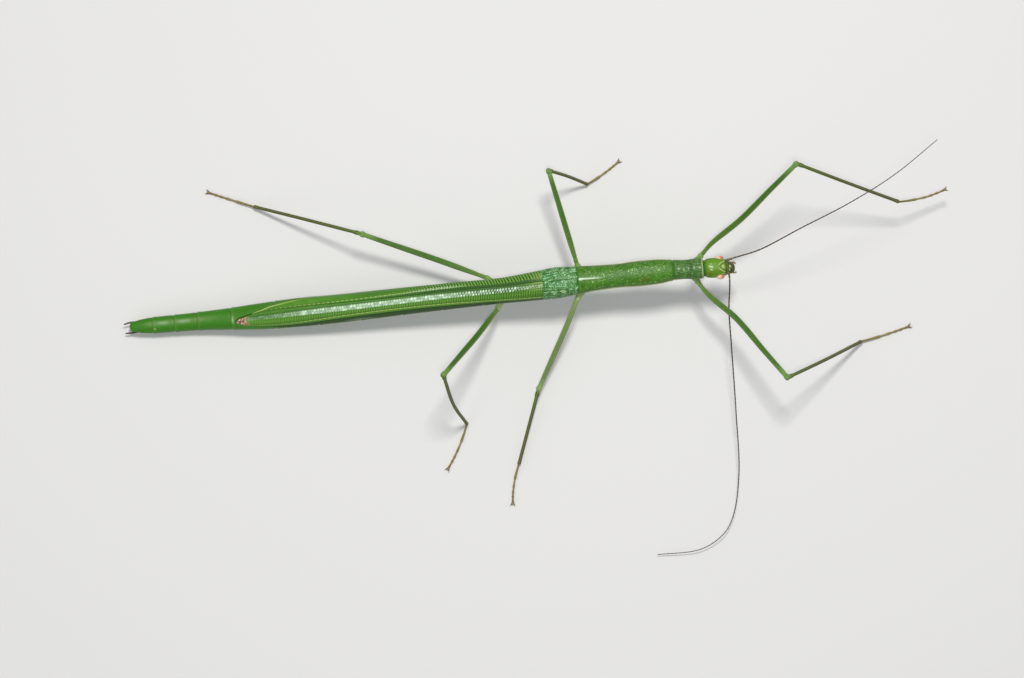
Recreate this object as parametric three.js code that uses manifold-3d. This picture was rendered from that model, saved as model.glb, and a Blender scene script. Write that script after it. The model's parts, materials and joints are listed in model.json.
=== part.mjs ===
// A winged green stick insect, life size, standing on a floor in a walking pose.
//
// Millimetres, +Z up. The insect is drawn in a body frame: x = 0 at the end of its tail, +X towards
// the head, +Y on its left, and z = 0 on the floor that its feet and tail rest on. The last lines move
// that frame so that the middle of the insect's outline is the origin.
//
// The trunk is one long body of oval sections that is parted into nodes. The closed wings lie in a
// shallow rebate along its back, so wings and trunk together give the outline. Every leg is made by the
// same functions from shared lengths and its own angles.

import * as THREE from 'three';
import { mergeVertices } from 'three/addons/utils/BufferGeometryUtils.js';
import Module from 'manifold-3d';

const wasm = await Module();
wasm.setup();

// ---------------------------------------------------------------- driving dimensions

const gap = 0.12; // clearance between neighbouring pieces
const wingThickness = 0.5;
const rebate = wingThickness + gap; // how far the trunk is sunk under the wings
const trunkSides = 20;
const legSides = 8;
const tarsusSides = 6;

// Where the insect stands relative to the middle of its own outline.
const outlineMiddle = { x: 60.2, y: -10.1 };

// Trunk sections: [x, width, height, height of the axis over the floor, sideways drift of the axis].
const trunkSections = [
  [0.0, 1.2, 1.0, 1.75, -0.08],
  [1.5, 1.9, 1.6, 1.65, -0.08],
  [3.0, 2.28, 1.95, 1.62, -0.08],
  [4.5, 2.42, 2.1, 1.65, -0.08],
  [7.4, 2.5, 2.25, 1.75, -0.08],
  [10.4, 2.67, 2.45, 1.95, -0.1],
  [14.8, 3.15, 2.75, 2.3, -0.2],
  [17.8, 3.65, 3.0, 2.6, -0.28],
  [25.0, 4.2, 3.45, 3.35, -0.28],
  [31.0, 4.16, 3.55, 4.0, -0.3],
  [40.0, 3.98, 3.55, 5.05, -0.22],
  [47.3, 3.83, 3.45, 6.0, -0.2],
  [54.6, 3.72, 3.45, 6.95, -0.2],
  [57.6, 3.97, 3.6, 7.3, -0.12],
  [60.5, 4.26, 3.8, 7.65, 0.0],
  [62.8, 4.5, 3.95, 7.95, 0.08],
  [64.9, 4.2, 3.75, 8.2, 0.13],
  [66.3, 3.92, 3.55, 8.35, 0.15],
  [69.2, 3.55, 3.25, 8.65, 0.17],
  [72.0, 3.38, 3.1, 8.95, 0.18],
  [75.0, 3.62, 3.15, 9.2, 0.18],
  [78.0, 3.42, 3.0, 9.45, 0.2],
  [79.8, 2.92, 2.75, 9.6, 0.22],
  [81.2, 2.72, 2.6, 9.7, 0.18],
  [82.6, 2.9, 2.7, 9.8, 0.12],
  [84.3, 2.86, 2.6, 9.85, 0.08],
];

// Head sections, in the same columns, from the neck to the front of the face.
const headSections = [
  [84.3, 2.3, 2.1, 9.82, 0.06],
  [84.8, 2.72, 2.45, 9.87, 0.03],
  [85.6, 2.86, 2.62, 9.92, 0.0],
  [86.6, 2.76, 2.6, 9.9, -0.03],
  [87.3, 2.38, 2.4, 9.8, -0.05],
  [87.9, 1.95, 2.1, 9.62, -0.06],
];

// Where the trunk is parted into nodes, from the tail forwards.
const partings = {
  tail: 0.0,
  tip: 6.5,
  rear: 16.6,
  middle: 34.1,
  front: 52.2,
  metathorax: 65.9,
  mesothorax: 79.8,
  neck: 84.25,
};
const tegminaRearEdge = 60.7;

// The closed wings' edges, as angles round the trunk: 0 is its left side, 90 its back.
const wingEdgeAngle = { tip: 38, forwards: -10, changesOver: 10 };
const wingMeetingAngle = { tip: 82, rear: 58, front: 72 };
const sectionFullness = 2.25; // 2 is an ellipse, more is squarer

// Legs. Shared lengths of each pair, and the hip's place on the left side.
const legPairs = {
  fore: {
    hip: { x: 83.8, out: 1.93, z: 8.0 },
    coxaRoot: { x: 82.9, out: 0.7, z: 9.0 },
    femur: 20.15,
    tibia: 19.35,
    tarsus: 7.3,
    femurRadius: 0.43,
    kneeRadius: 0.45,
  },
  middle: {
    hip: { x: 66.0, out: 2.48, z: 6.5 },
    coxaRoot: { x: 67.0, out: 0.9, z: 7.5 },
    femur: 14.5,
    tibia: 11.35,
    tarsus: 5.7,
    femurRadius: 0.42,
    kneeRadius: 0.43,
  },
  hind: {
    hip: { x: 53.5, out: 2.37, z: 4.6 },
    coxaRoot: { x: 54.6, out: 0.9, z: 6.0 },
    femur: 19.4,
    tibia: 18.5,
    tarsus: 7.0,
    femurRadius: 0.43,
    kneeRadius: 0.46,
  },
};

// Each leg's pose. Angles are degrees on the floor, from +X towards +Y; heights are over the floor.
// hipShift moves the hip forwards and outwards from its pair's place. femurBow is how far the thigh
// curves backwards near the hip and past its first third.
const legPoses = {
  fore_left: {
    hipShift: [0.4, 0.27], femurAngle: 36.5, kneeHeight: 17.9, femurBow: [0.2, -0.22],
    tibiaAngle: -17.6, tibiaBow: -0.05, ankleHeight: 7.4, tarsusAngle: 12.5, tarsusTurn: 14, tipHeight: 5.2,
  },
  fore_right: {
    hipShift: [-0.4, -0.28], femurAngle: -55.2, kneeHeight: 13.9, femurBow: [0.15, -0.45],
    tibiaAngle: 25.6, tibiaBow: 0.1, ankleHeight: 0.62, tarsusAngle: 13.0, tarsusTurn: 6, tipHeight: 0.24,
  },
  middle_left: {
    hipShift: [0.2, 0], femurAngle: 102.6, kneeHeight: 10.35, femurBow: [0, 0],
    tibiaAngle: -6.2, tibiaBow: 0.15, ankleHeight: 0.62, tarsusAngle: 31.7, tarsusTurn: 10, tipHeight: 0.24,
  },
  middle_right: {
    hipShift: [-0.2, 0], femurAngle: -119.0, kneeHeight: 2.2, femurBow: [-0.05, -0.1],
    tibiaAngle: -109.8, tibiaBow: 0, ankleHeight: 0.62, tarsusAngle: -104.1, tarsusTurn: 20, tipHeight: 0.24,
  },
  hind_left: {
    hipShift: [-0.6, 0.08], femurAngle: 156.8, kneeHeight: 7.4, femurBow: [-0.05, -0.1],
    tibiaAngle: 157.0, tibiaBow: 0.2, ankleHeight: 0.62, tarsusAngle: 157.0, tarsusTurn: 0, tipHeight: 0.24,
  },
  hind_right: {
    hipShift: [0.6, -0.07], femurAngle: -128.3, kneeHeight: 18.2, femurBow: [-0.05, -0.15],
    tibiaAngle: -62.6, tibiaBow: 0.75, ankleHeight: 0.62,
    tarsusAngle: -117.5, tarsusTurn: -15, tipHeight: 0.24,
  },
};
const coxaRadius = 0.72; // at the body
const hipRadius = 0.38;
const femurWaist = 0.3; // radius beside the hip
const tibiaRadius = 0.27;
const tibiaTop = 0.33; // radius beside the knee
const ankleRadius = 0.27;
const tarsusRadius = 0.26;
const tarsusWaist = 0.225; // radius between two tarsomeres
const tarsomeres = [0.4, 0.62, 0.76, 0.87, 1.0]; // where the five tarsomeres end, along the tarsus
const claw = { length: 0.62, radius: 0.11, spread: 0.3, padLength: 0.5, padRadius: 0.3 };

// Eyes, antennae, cerci and the parts under the tail.
const eye = { x: 86.6, out: 1.2, z: 10.02, length: 1.36, width: 1.1, height: 1.2 };
const antennaRadius = 0.25;
const scapeRadius = 0.35; // the thick first joint of an antenna
const antennaRoutes = {
  left: [
    [87.0, 0.7, 10.15], [88.5, 1.05, 10.6], [92.5, 1.75, 12.2], [98.3, 3.9, 14.6],
    [105.5, 6.6, 17.0], [112.0, 9.75, 19.0], [118.4, 14.0, 20.5],
  ],
  right: [
    [87.2, -0.35, 10.05], [87.85, -1.35, 10.2], [87.45, -6.1, 8.55], [87.45, -11.0, 6.8],
    [87.4, -20.3, 4.2], [87.0, -30.0, 2.5], [85.0, -36.8, 1.6], [80.9, -39.7, 1.0],
    [74.2, -40.0, 0.6],
  ],
};
const cercus = { radius: 0.25, tipRadius: 0.2 };
const cercusEnds = {
  left: { root: [1.3, 0.62, 1.35], tip: [-0.9, 0.45, 1.25] },
  right: { root: [1.5, -0.7, 1.2], tip: [-0.8, -0.85, 0.95] },
};
const operculum = { rear: 0.9, front: 8.6, halfAngle: 40, thickness: 0.5 };

const { lerp, smoothstep: blend, degToRad: rad, radToDeg } = THREE.MathUtils;
const vec = (x, y, z) => new THREE.Vector3(x, y, z);

// ---------------------------------------------------------------- making solids

// A smooth curve through [x, ...values] rows, read one column at a time.
function readColumn(rows, column, x) {
  let i = rows.findIndex((row) => row[0] > x);
  if (i === -1) i = rows.length - 1;
  i = Math.max(1, i);
  const slopeAt = (k) => {
    const a = rows[Math.max(0, k - 1)];
    const b = rows[Math.min(rows.length - 1, k + 1)];
    return (b[column] - a[column]) / (b[0] - a[0]);
  };
  const [low, high] = [rows[i - 1], rows[i]];
  const span = high[0] - low[0];
  const t = THREE.MathUtils.clamp((x - low[0]) / span, 0, 1);
  const [t2, t3] = [t * t, t * t * t];
  return (2 * t3 - 3 * t2 + 1) * low[column] + (t3 - 2 * t2 + t) * span * slopeAt(i - 1)
    + (3 * t2 - 2 * t3) * high[column] + (t3 - t2) * span * slopeAt(i);
}

// Triangles of one flat end, facing along the ring's own turning direction.
function capTriangles(ring) {
  const normal = vec(0, 0, 0);
  ring.forEach((p, i) => normal.add(p.clone().cross(ring[(i + 1) % ring.length])));
  normal.normalize();
  const u = ring[Math.floor(ring.length / 2)].clone().sub(ring[0]);
  u.addScaledVector(normal, -u.dot(normal)).normalize();
  const v = normal.clone().cross(u);
  const flat = ring.map((p) => new THREE.Vector2(p.dot(u), p.dot(v)));
  return THREE.ShapeUtils.triangulateShape(flat, []).map(([a, b, c]) => {
    const turn = flat[b].clone().sub(flat[a]).cross(flat[c].clone().sub(flat[a]));
    return turn > 0 ? [a, b, c] : [a, c, b];
  });
}

// A closed solid through rings of points that turn anticlockwise when seen from the last ring.
function loft(rings) {
  const count = rings[0].length;
  const index = [];
  for (let i = 0; i < rings.length - 1; i++) {
    for (let j = 0; j < count; j++) {
      const next = (j + 1) % count;
      const [a, b] = [i * count + j, i * count + next];
      index.push(a, b, a + count, b, b + count, a + count);
    }
  }
  capTriangles(rings[0]).forEach(([a, b, c]) => index.push(a, c, b));
  const last = (rings.length - 1) * count;
  capTriangles(rings.at(-1)).forEach(([a, b, c]) => index.push(last + a, last + b, last + c));
  const geometry = new THREE.BufferGeometry().setFromPoints(rings.flat());
  geometry.setIndex(index);
  return geometry;
}

// count + 1 even steps from one number to another.
const steps = (from, to, count) => Array.from(
  { length: count + 1 },
  (_, i) => lerp(from, to, i / count),
);

function toSolid(geometry) {
  geometry.deleteAttribute('normal');
  geometry.deleteAttribute('uv');
  const merged = mergeVertices(geometry, 1e-5);
  const mesh = new wasm.Mesh({
    numProp: 3,
    vertProperties: new Float32Array(merged.attributes.position.array),
    triVerts: new Uint32Array(merged.index.array),
  });
  return new wasm.Manifold(mesh);
}

function toGeometry(solid) {
  const mesh = solid.getMesh();
  const geometry = new THREE.BufferGeometry();
  geometry.setAttribute('position', new THREE.BufferAttribute(mesh.vertProperties, 3));
  geometry.setIndex(new THREE.BufferAttribute(mesh.triVerts, 1));
  return geometry;
}

const cut = (geometry, ...tools) => toGeometry(
  tools.reduce((solid, tool) => solid.subtract(toSolid(tool)), toSolid(geometry)),
);
const join = (...geometries) => toGeometry(
  geometries.map(toSolid).reduce((whole, solid) => whole.add(solid)),
);

// A tube along a curve. radius(t) and the section shape may change from t = 0 to 1, and nothing goes
// under the floor: what would is flattened, which gives each foot its small flat.
function tube(curve, radius, sides, rings) {
  return loft(steps(0, 1, rings).map((t) => {
    const centre = curve.getPointAt(t);
    const along = curve.getTangentAt(t);
    const across = along.clone().cross(vec(0, 0, 1)).normalize();
    const up = across.clone().cross(along);
    return steps(0, 2 * Math.PI, sides).slice(0, sides).map((angle) => {
      const r = radius(t);
      const p = centre.clone()
        .addScaledVector(up, r * Math.cos(angle))
        .addScaledVector(across, r * Math.sin(angle));
      p.z = Math.max(0, p.z);
      return p;
    });
  }));
}

// ---------------------------------------------------------------- trunk and wings

// A point of an oval section: angle 0 is the left side, 90 the back. depth sinks it into the body.
function ovalPoint(sections, x, degrees, depth = 0) {
  const power = 2 / sectionFullness;
  const [c, s] = [Math.cos(rad(degrees)), Math.sin(rad(degrees))];
  const halfWidth = readColumn(sections, 1, x) / 2 - depth;
  const halfHeight = readColumn(sections, 2, x) / 2 - depth;
  return vec(
    x,
    readColumn(sections, 4, x) + halfWidth * Math.sign(c) * Math.abs(c) ** power,
    Math.max(0, readColumn(sections, 3, x) + halfHeight * Math.sign(s) * Math.abs(s) ** power),
  );
}

const ovalRing = (sections, x, depth = 0, sides = trunkSides) => steps(0, 360, sides).slice(0, sides)
  .map((degrees) => ovalPoint(sections, x, degrees, depth));

// The angle of the wings' lower edge on the left side, and of the line where the two wings meet.
const wingTip = partings.rear - 1;
const wingEdge = (x) => lerp(
  wingEdgeAngle.tip, wingEdgeAngle.forwards, blend(x, wingTip, wingTip + wingEdgeAngle.changesOver),
);
const wingSplit = (x) => lerp(wingMeetingAngle.rear, wingMeetingAngle.front, blend(x, 20, tegminaRearEdge))
  + (wingMeetingAngle.tip - wingMeetingAngle.rear) * (1 - blend(x, wingTip, 22));

// A section of the trunk under the wings: full below the wing edges, sunk by the rebate above them.
function rebatedRing(x) {
  const clearance = radToDeg(gap / (readColumn(trunkSections, 1, x) / 2));
  const edge = wingEdge(x) - clearance;
  const belly = steps(180 - edge, 360 + edge, trunkSides / 2).map((a) => ovalPoint(trunkSections, x, a));
  const back = steps(edge, 180 - edge, trunkSides / 2).map((a) => ovalPoint(trunkSections, x, a, rebate));
  return [...belly, ...back];
}

const trunkNode = (from, to, pieces, ring) => loft(
  steps(from + gap / 2, to - gap / 2, pieces).map(ring),
);
const plainTrunk = (from, to, pieces) => trunkNode(from, to, pieces, (x) => ovalRing(trunkSections, x));
const winglessTrunk = (from, to, pieces) => trunkNode(from, to, pieces, rebatedRing);

// One wing: the shell between the lower edge and the meeting line, on the left or the right side.
function wing(side, from, to, pieces) {
  const arc = 6;
  return trunkNode(from, to, pieces, (x) => {
    const slit = radToDeg(gap / 2 / (readColumn(trunkSections, 1, x) / 2));
    const [low, high] = side === 'left'
      ? [wingEdge(x), wingSplit(x) - slit]
      : [wingSplit(x) + slit, 180 - wingEdge(x)];
    const outer = steps(low, high, arc).map((a) => ovalPoint(trunkSections, x, a));
    const inner = steps(high, low, arc).map((a) => ovalPoint(trunkSections, x, a, wingThickness));
    return [...outer, ...inner];
  });
}

// The scoop that covers the underside of the last three segments, narrower at both its ends.
function operculumPlate() {
  const arc = 5;
  const outside = -gap - operculum.thickness;
  return loft(steps(operculum.rear, operculum.front, 5).map((x) => {
    const t = (x - operculum.rear) / (operculum.front - operculum.rear);
    const spread = operculum.halfAngle * lerp(0.45, 1, Math.sqrt(Math.sin(Math.PI * (0.12 + 0.8 * t))));
    const [low, high] = [270 - spread, 270 + spread];
    const outer = steps(low, high, arc).map((a) => ovalPoint(trunkSections, x, a, outside));
    const inner = steps(high, low, arc).map((a) => ovalPoint(trunkSections, x, a, -gap));
    return [...outer, ...inner];
  }));
}

// ---------------------------------------------------------------- head

function ellipsoid(centre, length, width, height, around, along) {
  const geometry = new THREE.SphereGeometry(0.5, around, along);
  geometry.rotateZ(Math.PI / 2);
  geometry.scale(length, width, height);
  return geometry.translate(centre.x, centre.y, centre.z);
}

const headAxis = (x) => readColumn(headSections, 4, x);
const eyeCentre = (sign) => vec(eye.x, headAxis(eye.x) + sign * eye.out, eye.z);
const eyeball = (sign, grow = 0) => ellipsoid(
  eyeCentre(sign), eye.length + 2 * grow, eye.width + 2 * grow, eye.height + 2 * grow, 10, 8,
);

const headSolid = (depth, sides) => loft(
  steps(partings.neck + gap / 2, 87.85, 7).map((x) => ovalRing(headSections, x, depth, sides)),
);
const headCapsule = () => cut(headSolid(0, trunkSides), eyeball(1, gap), eyeball(-1, gap));

// The lip and jaws: a blunt wedge in front of the face and below it, with a pair of palps.
function mouthparts() {
  const face = [
    [87.97, 1.8, 1.6, 9.3, -0.06],
    [88.35, 1.68, 1.45, 9.18, -0.06],
    [88.7, 1.35, 1.1, 9.05, -0.07],
    [88.9, 0.8, 0.6, 8.95, -0.08],
  ];
  const wedge = loft(face.map((row) => ovalRing(face, row[0], 0, 12)));
  const palps = [1, -1].map((sign) => tube(
    new THREE.CatmullRomCurve3([
      vec(88.2, sign * 0.5, 8.95), vec(88.75, sign * 0.72, 8.65), vec(89.05, sign * 0.6, 8.3),
    ]),
    (t) => 0.2 - 0.06 * t, 5, 3,
  ));
  return join(wedge, ...palps);
}

// ---------------------------------------------------------------- antennae and cerci

function antennaLength(curve, from, to, first) {
  const rings = 7;
  const part = new THREE.CatmullRomCurve3(steps(from, to, rings).map((t) => curve.getPointAt(t)));
  const scape = (t) => lerp(scapeRadius, antennaRadius, blend(t, 0.12, 0.2));
  return tube(part, first ? scape : () => antennaRadius, legSides, rings);
}

function antennaNodes(side, sign) {
  const curve = new THREE.CatmullRomCurve3(antennaRoutes[side].map((p) => vec(...p)));
  const slit = gap / 2 / curve.getLength();
  const ends = [0, 0.34, 0.67, 1];
  return ['base', 'middle', 'tip'].map((name, i) => {
    const from = ends[i] + (i > 0 ? slit : 0);
    const to = ends[i + 1] - (i < 2 ? slit : 0);
    const piece = antennaLength(curve, from, to, i === 0);
    const clear = i === 0 ? cut(piece, headSolid(-gap, trunkSides), eyeball(sign, gap)) : piece;
    return [`antenna_${side}_${name}`, clear];
  });
}

function cercusNode(side) {
  const { root, tip } = cercusEnds[side];
  const curve = new THREE.LineCurve3(vec(...root), vec(...tip));
  const stub = tube(curve, (t) => lerp(cercus.radius, cercus.tipRadius, t ** 3), legSides, 3);
  const tail = loft([-gap, ...steps(0.6, partings.tip, 5)].map((x) => ovalRing(
    trunkSections, Math.max(x, 0), -gap,
  ).map((p) => p.setX(x))));
  return cut(stub, tail, operculumPlate());
}

// ---------------------------------------------------------------- legs

// A point at a given distance and height from another, in a given direction over the floor.
function reach(from, length, degrees, height) {
  const rise = height - from.z;
  const run = Math.sqrt(length ** 2 - rise ** 2);
  return vec(from.x + run * Math.cos(rad(degrees)), from.y + run * Math.sin(rad(degrees)), height);
}

// How far from a ball joint the next shaft starts, so that it clears the ball and the shaft behind it.
function clearStart(ball, shaft, next, back, forward) {
  const angle = back.angleTo(forward);
  const past = (shaft + gap + next * Math.cos(angle)) / Math.sin(angle);
  return angle < Math.PI / 2 ? Math.max(ball + gap, past) : ball + gap;
}

function legJoints(name) {
  const [pair, side] = name.split('_');
  const sign = side === 'left' ? 1 : -1;
  const size = legPairs[pair];
  const pose = legPoses[name];
  const drift = (x) => readColumn(trunkSections, 4, x);
  const [ahead, aside] = pose.hipShift;
  const place = ({ x, out, z }, share) => vec(
    x + share * ahead, drift(x + share * ahead) + sign * (out + share * aside), z,
  );
  const hip = place(size.hip, 1);
  const knee = reach(hip, size.femur, pose.femurAngle, pose.kneeHeight);
  const ankle = reach(knee, size.tibia, pose.tibiaAngle, pose.ankleHeight);
  return { size, pose, sign, root: place(size.coxaRoot, 0.5), hip, knee, ankle };
}

// The short cone between the body and the femur, cut to sit against the trunk.
function coxa({ root, hip }) {
  const axis = hip.clone().sub(root).normalize();
  const end = hip.clone().addScaledVector(axis, hipRadius * 0.8);
  const length = end.distanceTo(root);
  const dome = 1 - hipRadius / length;
  const radius = (t) => (t < dome
    ? lerp(coxaRadius, hipRadius + 0.06, t / dome)
    : hipRadius * Math.sqrt(Math.max(0.12, 1 - ((t - dome) / (1 - dome)) ** 2)));
  const cone = tube(new THREE.LineCurve3(root, end), radius, 8, 7);
  const trunk = loft(steps(root.x - 3, root.x + 3, 8).map((x) => ovalRing(
    trunkSections, Math.min(x, partings.neck), -gap,
  ).map((p) => vec(x, p.y, p.z))));
  return cut(cone, trunk);
}

// A curve that keeps another's path but spends its even steps at chosen places along it.
function unevenCurve(curve, places) {
  const stepped = new THREE.Curve();
  const real = (t) => {
    const k = Math.min(Math.floor(t * (places.length - 1)), places.length - 2);
    return lerp(places[k], places[k + 1], t * (places.length - 1) - k);
  };
  stepped.getPointAt = (t) => curve.getPointAt(real(t));
  stepped.getTangentAt = (t) => curve.getTangentAt(real(t));
  stepped.place = real;
  return stepped;
}

// The thigh: slim at the hip, widest past its first third, and a knob at the knee.
function femur({ size, pose, root, hip, knee }) {
  const forward = knee.clone().sub(hip).normalize();
  const back = root.clone().sub(hip).normalize();
  const start = clearStart(hipRadius, size.femurRadius, femurWaist, back, forward);
  const first = hip.clone().addScaledVector(forward, start);
  const last = knee.clone().addScaledVector(forward, size.kneeRadius * 0.85);
  const backwards = vec(0, 0, 1).cross(forward).normalize().multiplyScalar(Math.sign(forward.y));
  const bowed = (t, bow) => first.clone().lerp(last, t).addScaledVector(backwards, bow);
  const [nearHip, pastThird] = pose.femurBow;
  const curve = new THREE.CatmullRomCurve3([
    first, bowed(0.12, nearHip), bowed(0.38, pastThird), bowed(0.7, pastThird * 0.4), last,
  ]);
  const knob = 1 - (1.7 * size.kneeRadius) / size.femur;
  const radius = (t) => {
    const shaft = lerp(femurWaist, size.femurRadius, blend(t, 0, 0.3))
      - 0.08 * blend(t, 0.55, knob - 0.06);
    if (t < knob) return lerp(shaft, size.kneeRadius, blend(t, knob - 0.05, knob));
    return size.kneeRadius * Math.sqrt(Math.max(0.15, 1 - ((t - knob) / (1 - knob)) ** 2));
  };
  const stations = unevenCurve(curve, [0, 0.1, 0.22, 0.42, 0.68, knob - 0.05, knob, (knob + 1) / 2, 1]);
  return tube(stations, (t) => radius(stations.place(t)), legSides, 8);
}

function tibia({ size, pose, hip, knee, ankle }) {
  const forward = ankle.clone().sub(knee).normalize();
  const back = hip.clone().sub(knee).normalize();
  const start = clearStart(size.kneeRadius, size.femurRadius, tibiaRadius, back, forward);
  const first = knee.clone().addScaledVector(forward, start);
  const outwards = back.clone().negate().addScaledVector(forward, back.dot(forward)).normalize();
  const middle = first.clone().lerp(ankle, 0.5).addScaledVector(outwards, pose.tibiaBow);
  const curve = new THREE.CatmullRomCurve3([first, middle, ankle]);
  const radius = (t) => lerp(tibiaTop, tibiaRadius, blend(t, 0, 0.25)) + 0.02 * blend(t, 0.9, 1);
  return tube(curve, radius, legSides, 7);
}

// The foot's path: down to the floor behind the ankle, then along it in a gentle turn.
function tarsusCurve({ size, pose, ankle }) {
  const turnAt = (t) => pose.tarsusAngle + pose.tarsusTurn * (t - 0.5);
  const pieces = 6;
  const points = [ankle.clone()];
  for (let i = 1; i <= pieces; i++) {
    const angle = rad(turnAt((i - 0.5) / pieces));
    const height = lerp(ankle.z, pose.tipHeight, Math.min(1, (1.6 * i) / pieces));
    const along = vec(Math.cos(angle), Math.sin(angle), 0).multiplyScalar(size.tarsus / pieces);
    points.push(points.at(-1).clone().add(along).setZ(height));
  }
  return new THREE.CatmullRomCurve3(points);
}

function tarsus(leg) {
  const whole = tarsusCurve(leg);
  const length = whole.getLength();
  const from = (ankleRadius + gap) / length;
  const part = new THREE.CatmullRomCurve3(steps(from, 1, 11).map((t) => whole.getPointAt(t)));
  const inner = tarsomeres.slice(0, 4);
  const waist = (t) => inner.reduce((depth, end) => Math.max(depth, 1 - Math.abs(t - end) / 0.05), 0);
  return tube(part, (t) => lerp(tarsusRadius, tarsusWaist, waist(t)), tarsusSides, 11);
}

// Two hooked claws with a soft pad between them.
function claws(leg) {
  const path = tarsusCurve(leg);
  const tip = path.getPointAt(1);
  const forward = path.getTangentAt(1).setZ(0).normalize();
  const left = vec(0, 0, 1).cross(forward);
  const at = (ahead, aside, z) => tip.clone().addScaledVector(forward, gap + ahead)
    .addScaledVector(left, aside).setZ(tip.z + z);
  const pad = tube(
    new THREE.LineCurve3(at(0, 0, 0), at(claw.padLength, 0, -0.02)),
    (t) => claw.padRadius * Math.sqrt(Math.max(0.2, 1 - (1.6 * t - 0.6) ** 2)), 6, 3,
  );
  const hooks = [1, -1].map((sign) => tube(
    new THREE.CatmullRomCurve3([
      at(0.1, sign * 0.1, 0.04),
      at(claw.length * 0.6, sign * claw.spread, 0.1),
      at(claw.length, sign * claw.spread * 1.05, -0.06),
    ]),
    (t) => claw.radius * (1 - 0.55 * t), 5, 2,
  ));
  return join(pad, ...hooks);
}

// ---------------------------------------------------------------- materials

const paint = (color, roughness) => new THREE.MeshStandardMaterial({ color, roughness, metalness: 0 });
const finishes = {
  body_green: paint(0x5f8a2c, 0.45),
  wing_green: paint(0x6a9a4a, 0.4),
  tegmen_green: paint(0x3f6e48, 0.4),
  leg_green: paint(0x5c8a2e, 0.5),
  shin_olive: paint(0x6b6a34, 0.55),
  foot_yellow: paint(0x8f8a45, 0.6),
  claw_brown: paint(0x5a4020, 0.4),
  antenna_brown: paint(0x43341f, 0.55),
  mouth_olive: paint(0x5f6a22, 0.45),
  eye_pink: paint(0xe0a58c, 0.2),
};

// ---------------------------------------------------------------- the insect

const insect = new THREE.Group();

function add(name, geometry, finish) {
  const mesh = new THREE.Mesh(geometry, finishes[finish]);
  mesh.name = name;
  insect.add(mesh);
}

add('abdomen_tip', plainTrunk(partings.tail, partings.tip, 6), 'body_green');
add('abdomen_rear', plainTrunk(partings.tip, partings.rear, 5), 'body_green');
add('abdomen_middle', winglessTrunk(partings.rear, partings.middle, 7), 'body_green');
add('abdomen_front', winglessTrunk(partings.middle, partings.front, 5), 'body_green');
add('metathorax', winglessTrunk(partings.front, partings.metathorax, 7), 'body_green');
add('mesothorax', plainTrunk(partings.metathorax, partings.mesothorax, 7), 'body_green');
add('prothorax', plainTrunk(partings.mesothorax, partings.neck, 5), 'body_green');
add('operculum', operculumPlate(), 'body_green');
add('head', headCapsule(), 'body_green');
add('mouthparts', mouthparts(), 'mouth_olive');

for (const [side, sign] of [['left', 1], ['right', -1]]) {
  add(`hindwing_${side}`, wing(side, partings.rear, tegminaRearEdge, 15), 'wing_green');
  add(`forewing_${side}`, wing(side, tegminaRearEdge, partings.metathorax, 5), 'tegmen_green');
  add(`eye_${side}`, eyeball(sign), 'eye_pink');
  antennaNodes(side, sign).forEach(([name, geometry]) => add(name, geometry, 'antenna_brown'));
  add(`cercus_${side}`, cercusNode(side), 'antenna_brown');
}

for (const name of Object.keys(legPoses)) {
  const leg = legJoints(name);
  add(`coxa_${name}`, coxa(leg), 'leg_green');
  add(`femur_${name}`, femur(leg), 'leg_green');
  add(`tibia_${name}`, tibia(leg), 'shin_olive');
  add(`tarsus_${name}`, tarsus(leg), 'foot_yellow');
  add(`claws_${name}`, claws(leg), 'claw_brown');
}

insect.position.set(-outlineMiddle.x, -outlineMiddle.y, 0);

export default insect;
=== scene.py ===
# %% [markdown]
# # A winged green stick insect, life size
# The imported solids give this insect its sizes, its pose and its weight. This scene gives it its looks:
# one continuous skin for the trunk, head and legs, four closed wings with their veins, glossy eyes,
# jointed feelers, claws and the small parts round the mouth and the tail. The solids could be given
# materials as they are, but their flat facets and gaps would show, so finer pieces stand for them.

# %% Load the solids
import json
import math

import bpy
import numpy as np
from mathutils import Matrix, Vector

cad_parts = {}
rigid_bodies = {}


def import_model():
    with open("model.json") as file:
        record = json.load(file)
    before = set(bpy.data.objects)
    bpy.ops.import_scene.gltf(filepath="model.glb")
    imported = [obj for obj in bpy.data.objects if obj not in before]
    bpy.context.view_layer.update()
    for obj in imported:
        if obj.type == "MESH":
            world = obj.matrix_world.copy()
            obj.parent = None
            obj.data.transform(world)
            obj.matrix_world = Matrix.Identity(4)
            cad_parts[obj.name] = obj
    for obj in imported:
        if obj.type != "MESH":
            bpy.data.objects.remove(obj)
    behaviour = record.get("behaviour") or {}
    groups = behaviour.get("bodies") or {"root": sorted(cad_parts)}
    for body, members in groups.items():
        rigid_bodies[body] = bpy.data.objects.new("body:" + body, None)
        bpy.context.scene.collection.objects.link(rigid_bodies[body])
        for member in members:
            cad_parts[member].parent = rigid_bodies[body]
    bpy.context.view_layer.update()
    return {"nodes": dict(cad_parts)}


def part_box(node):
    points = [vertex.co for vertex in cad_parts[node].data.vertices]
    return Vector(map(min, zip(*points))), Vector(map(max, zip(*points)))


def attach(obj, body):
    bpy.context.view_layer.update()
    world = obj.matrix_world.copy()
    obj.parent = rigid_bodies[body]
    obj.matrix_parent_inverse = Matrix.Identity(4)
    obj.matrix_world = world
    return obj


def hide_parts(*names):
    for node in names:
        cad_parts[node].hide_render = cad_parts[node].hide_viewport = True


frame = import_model()
print("solids:", len(frame["nodes"]), "nodes")

# %% [markdown]
# ## The insect's own frame
# Its places are easiest to name in millimetres along its body: x = 0 at the end of the tail, x = 88 at
# the face, +Y on its left and z = 0 on the floor. The solids are in metres about the middle of the
# insect's outline, so one function moves points from the first frame to the second.

# %% Frames and small helpers
MM = 0.001
MIDDLE = np.array([60.2, -10.1, 0.0])


def in_metres(points):
    return (np.asarray(points, float) - MIDDLE) * MM


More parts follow.
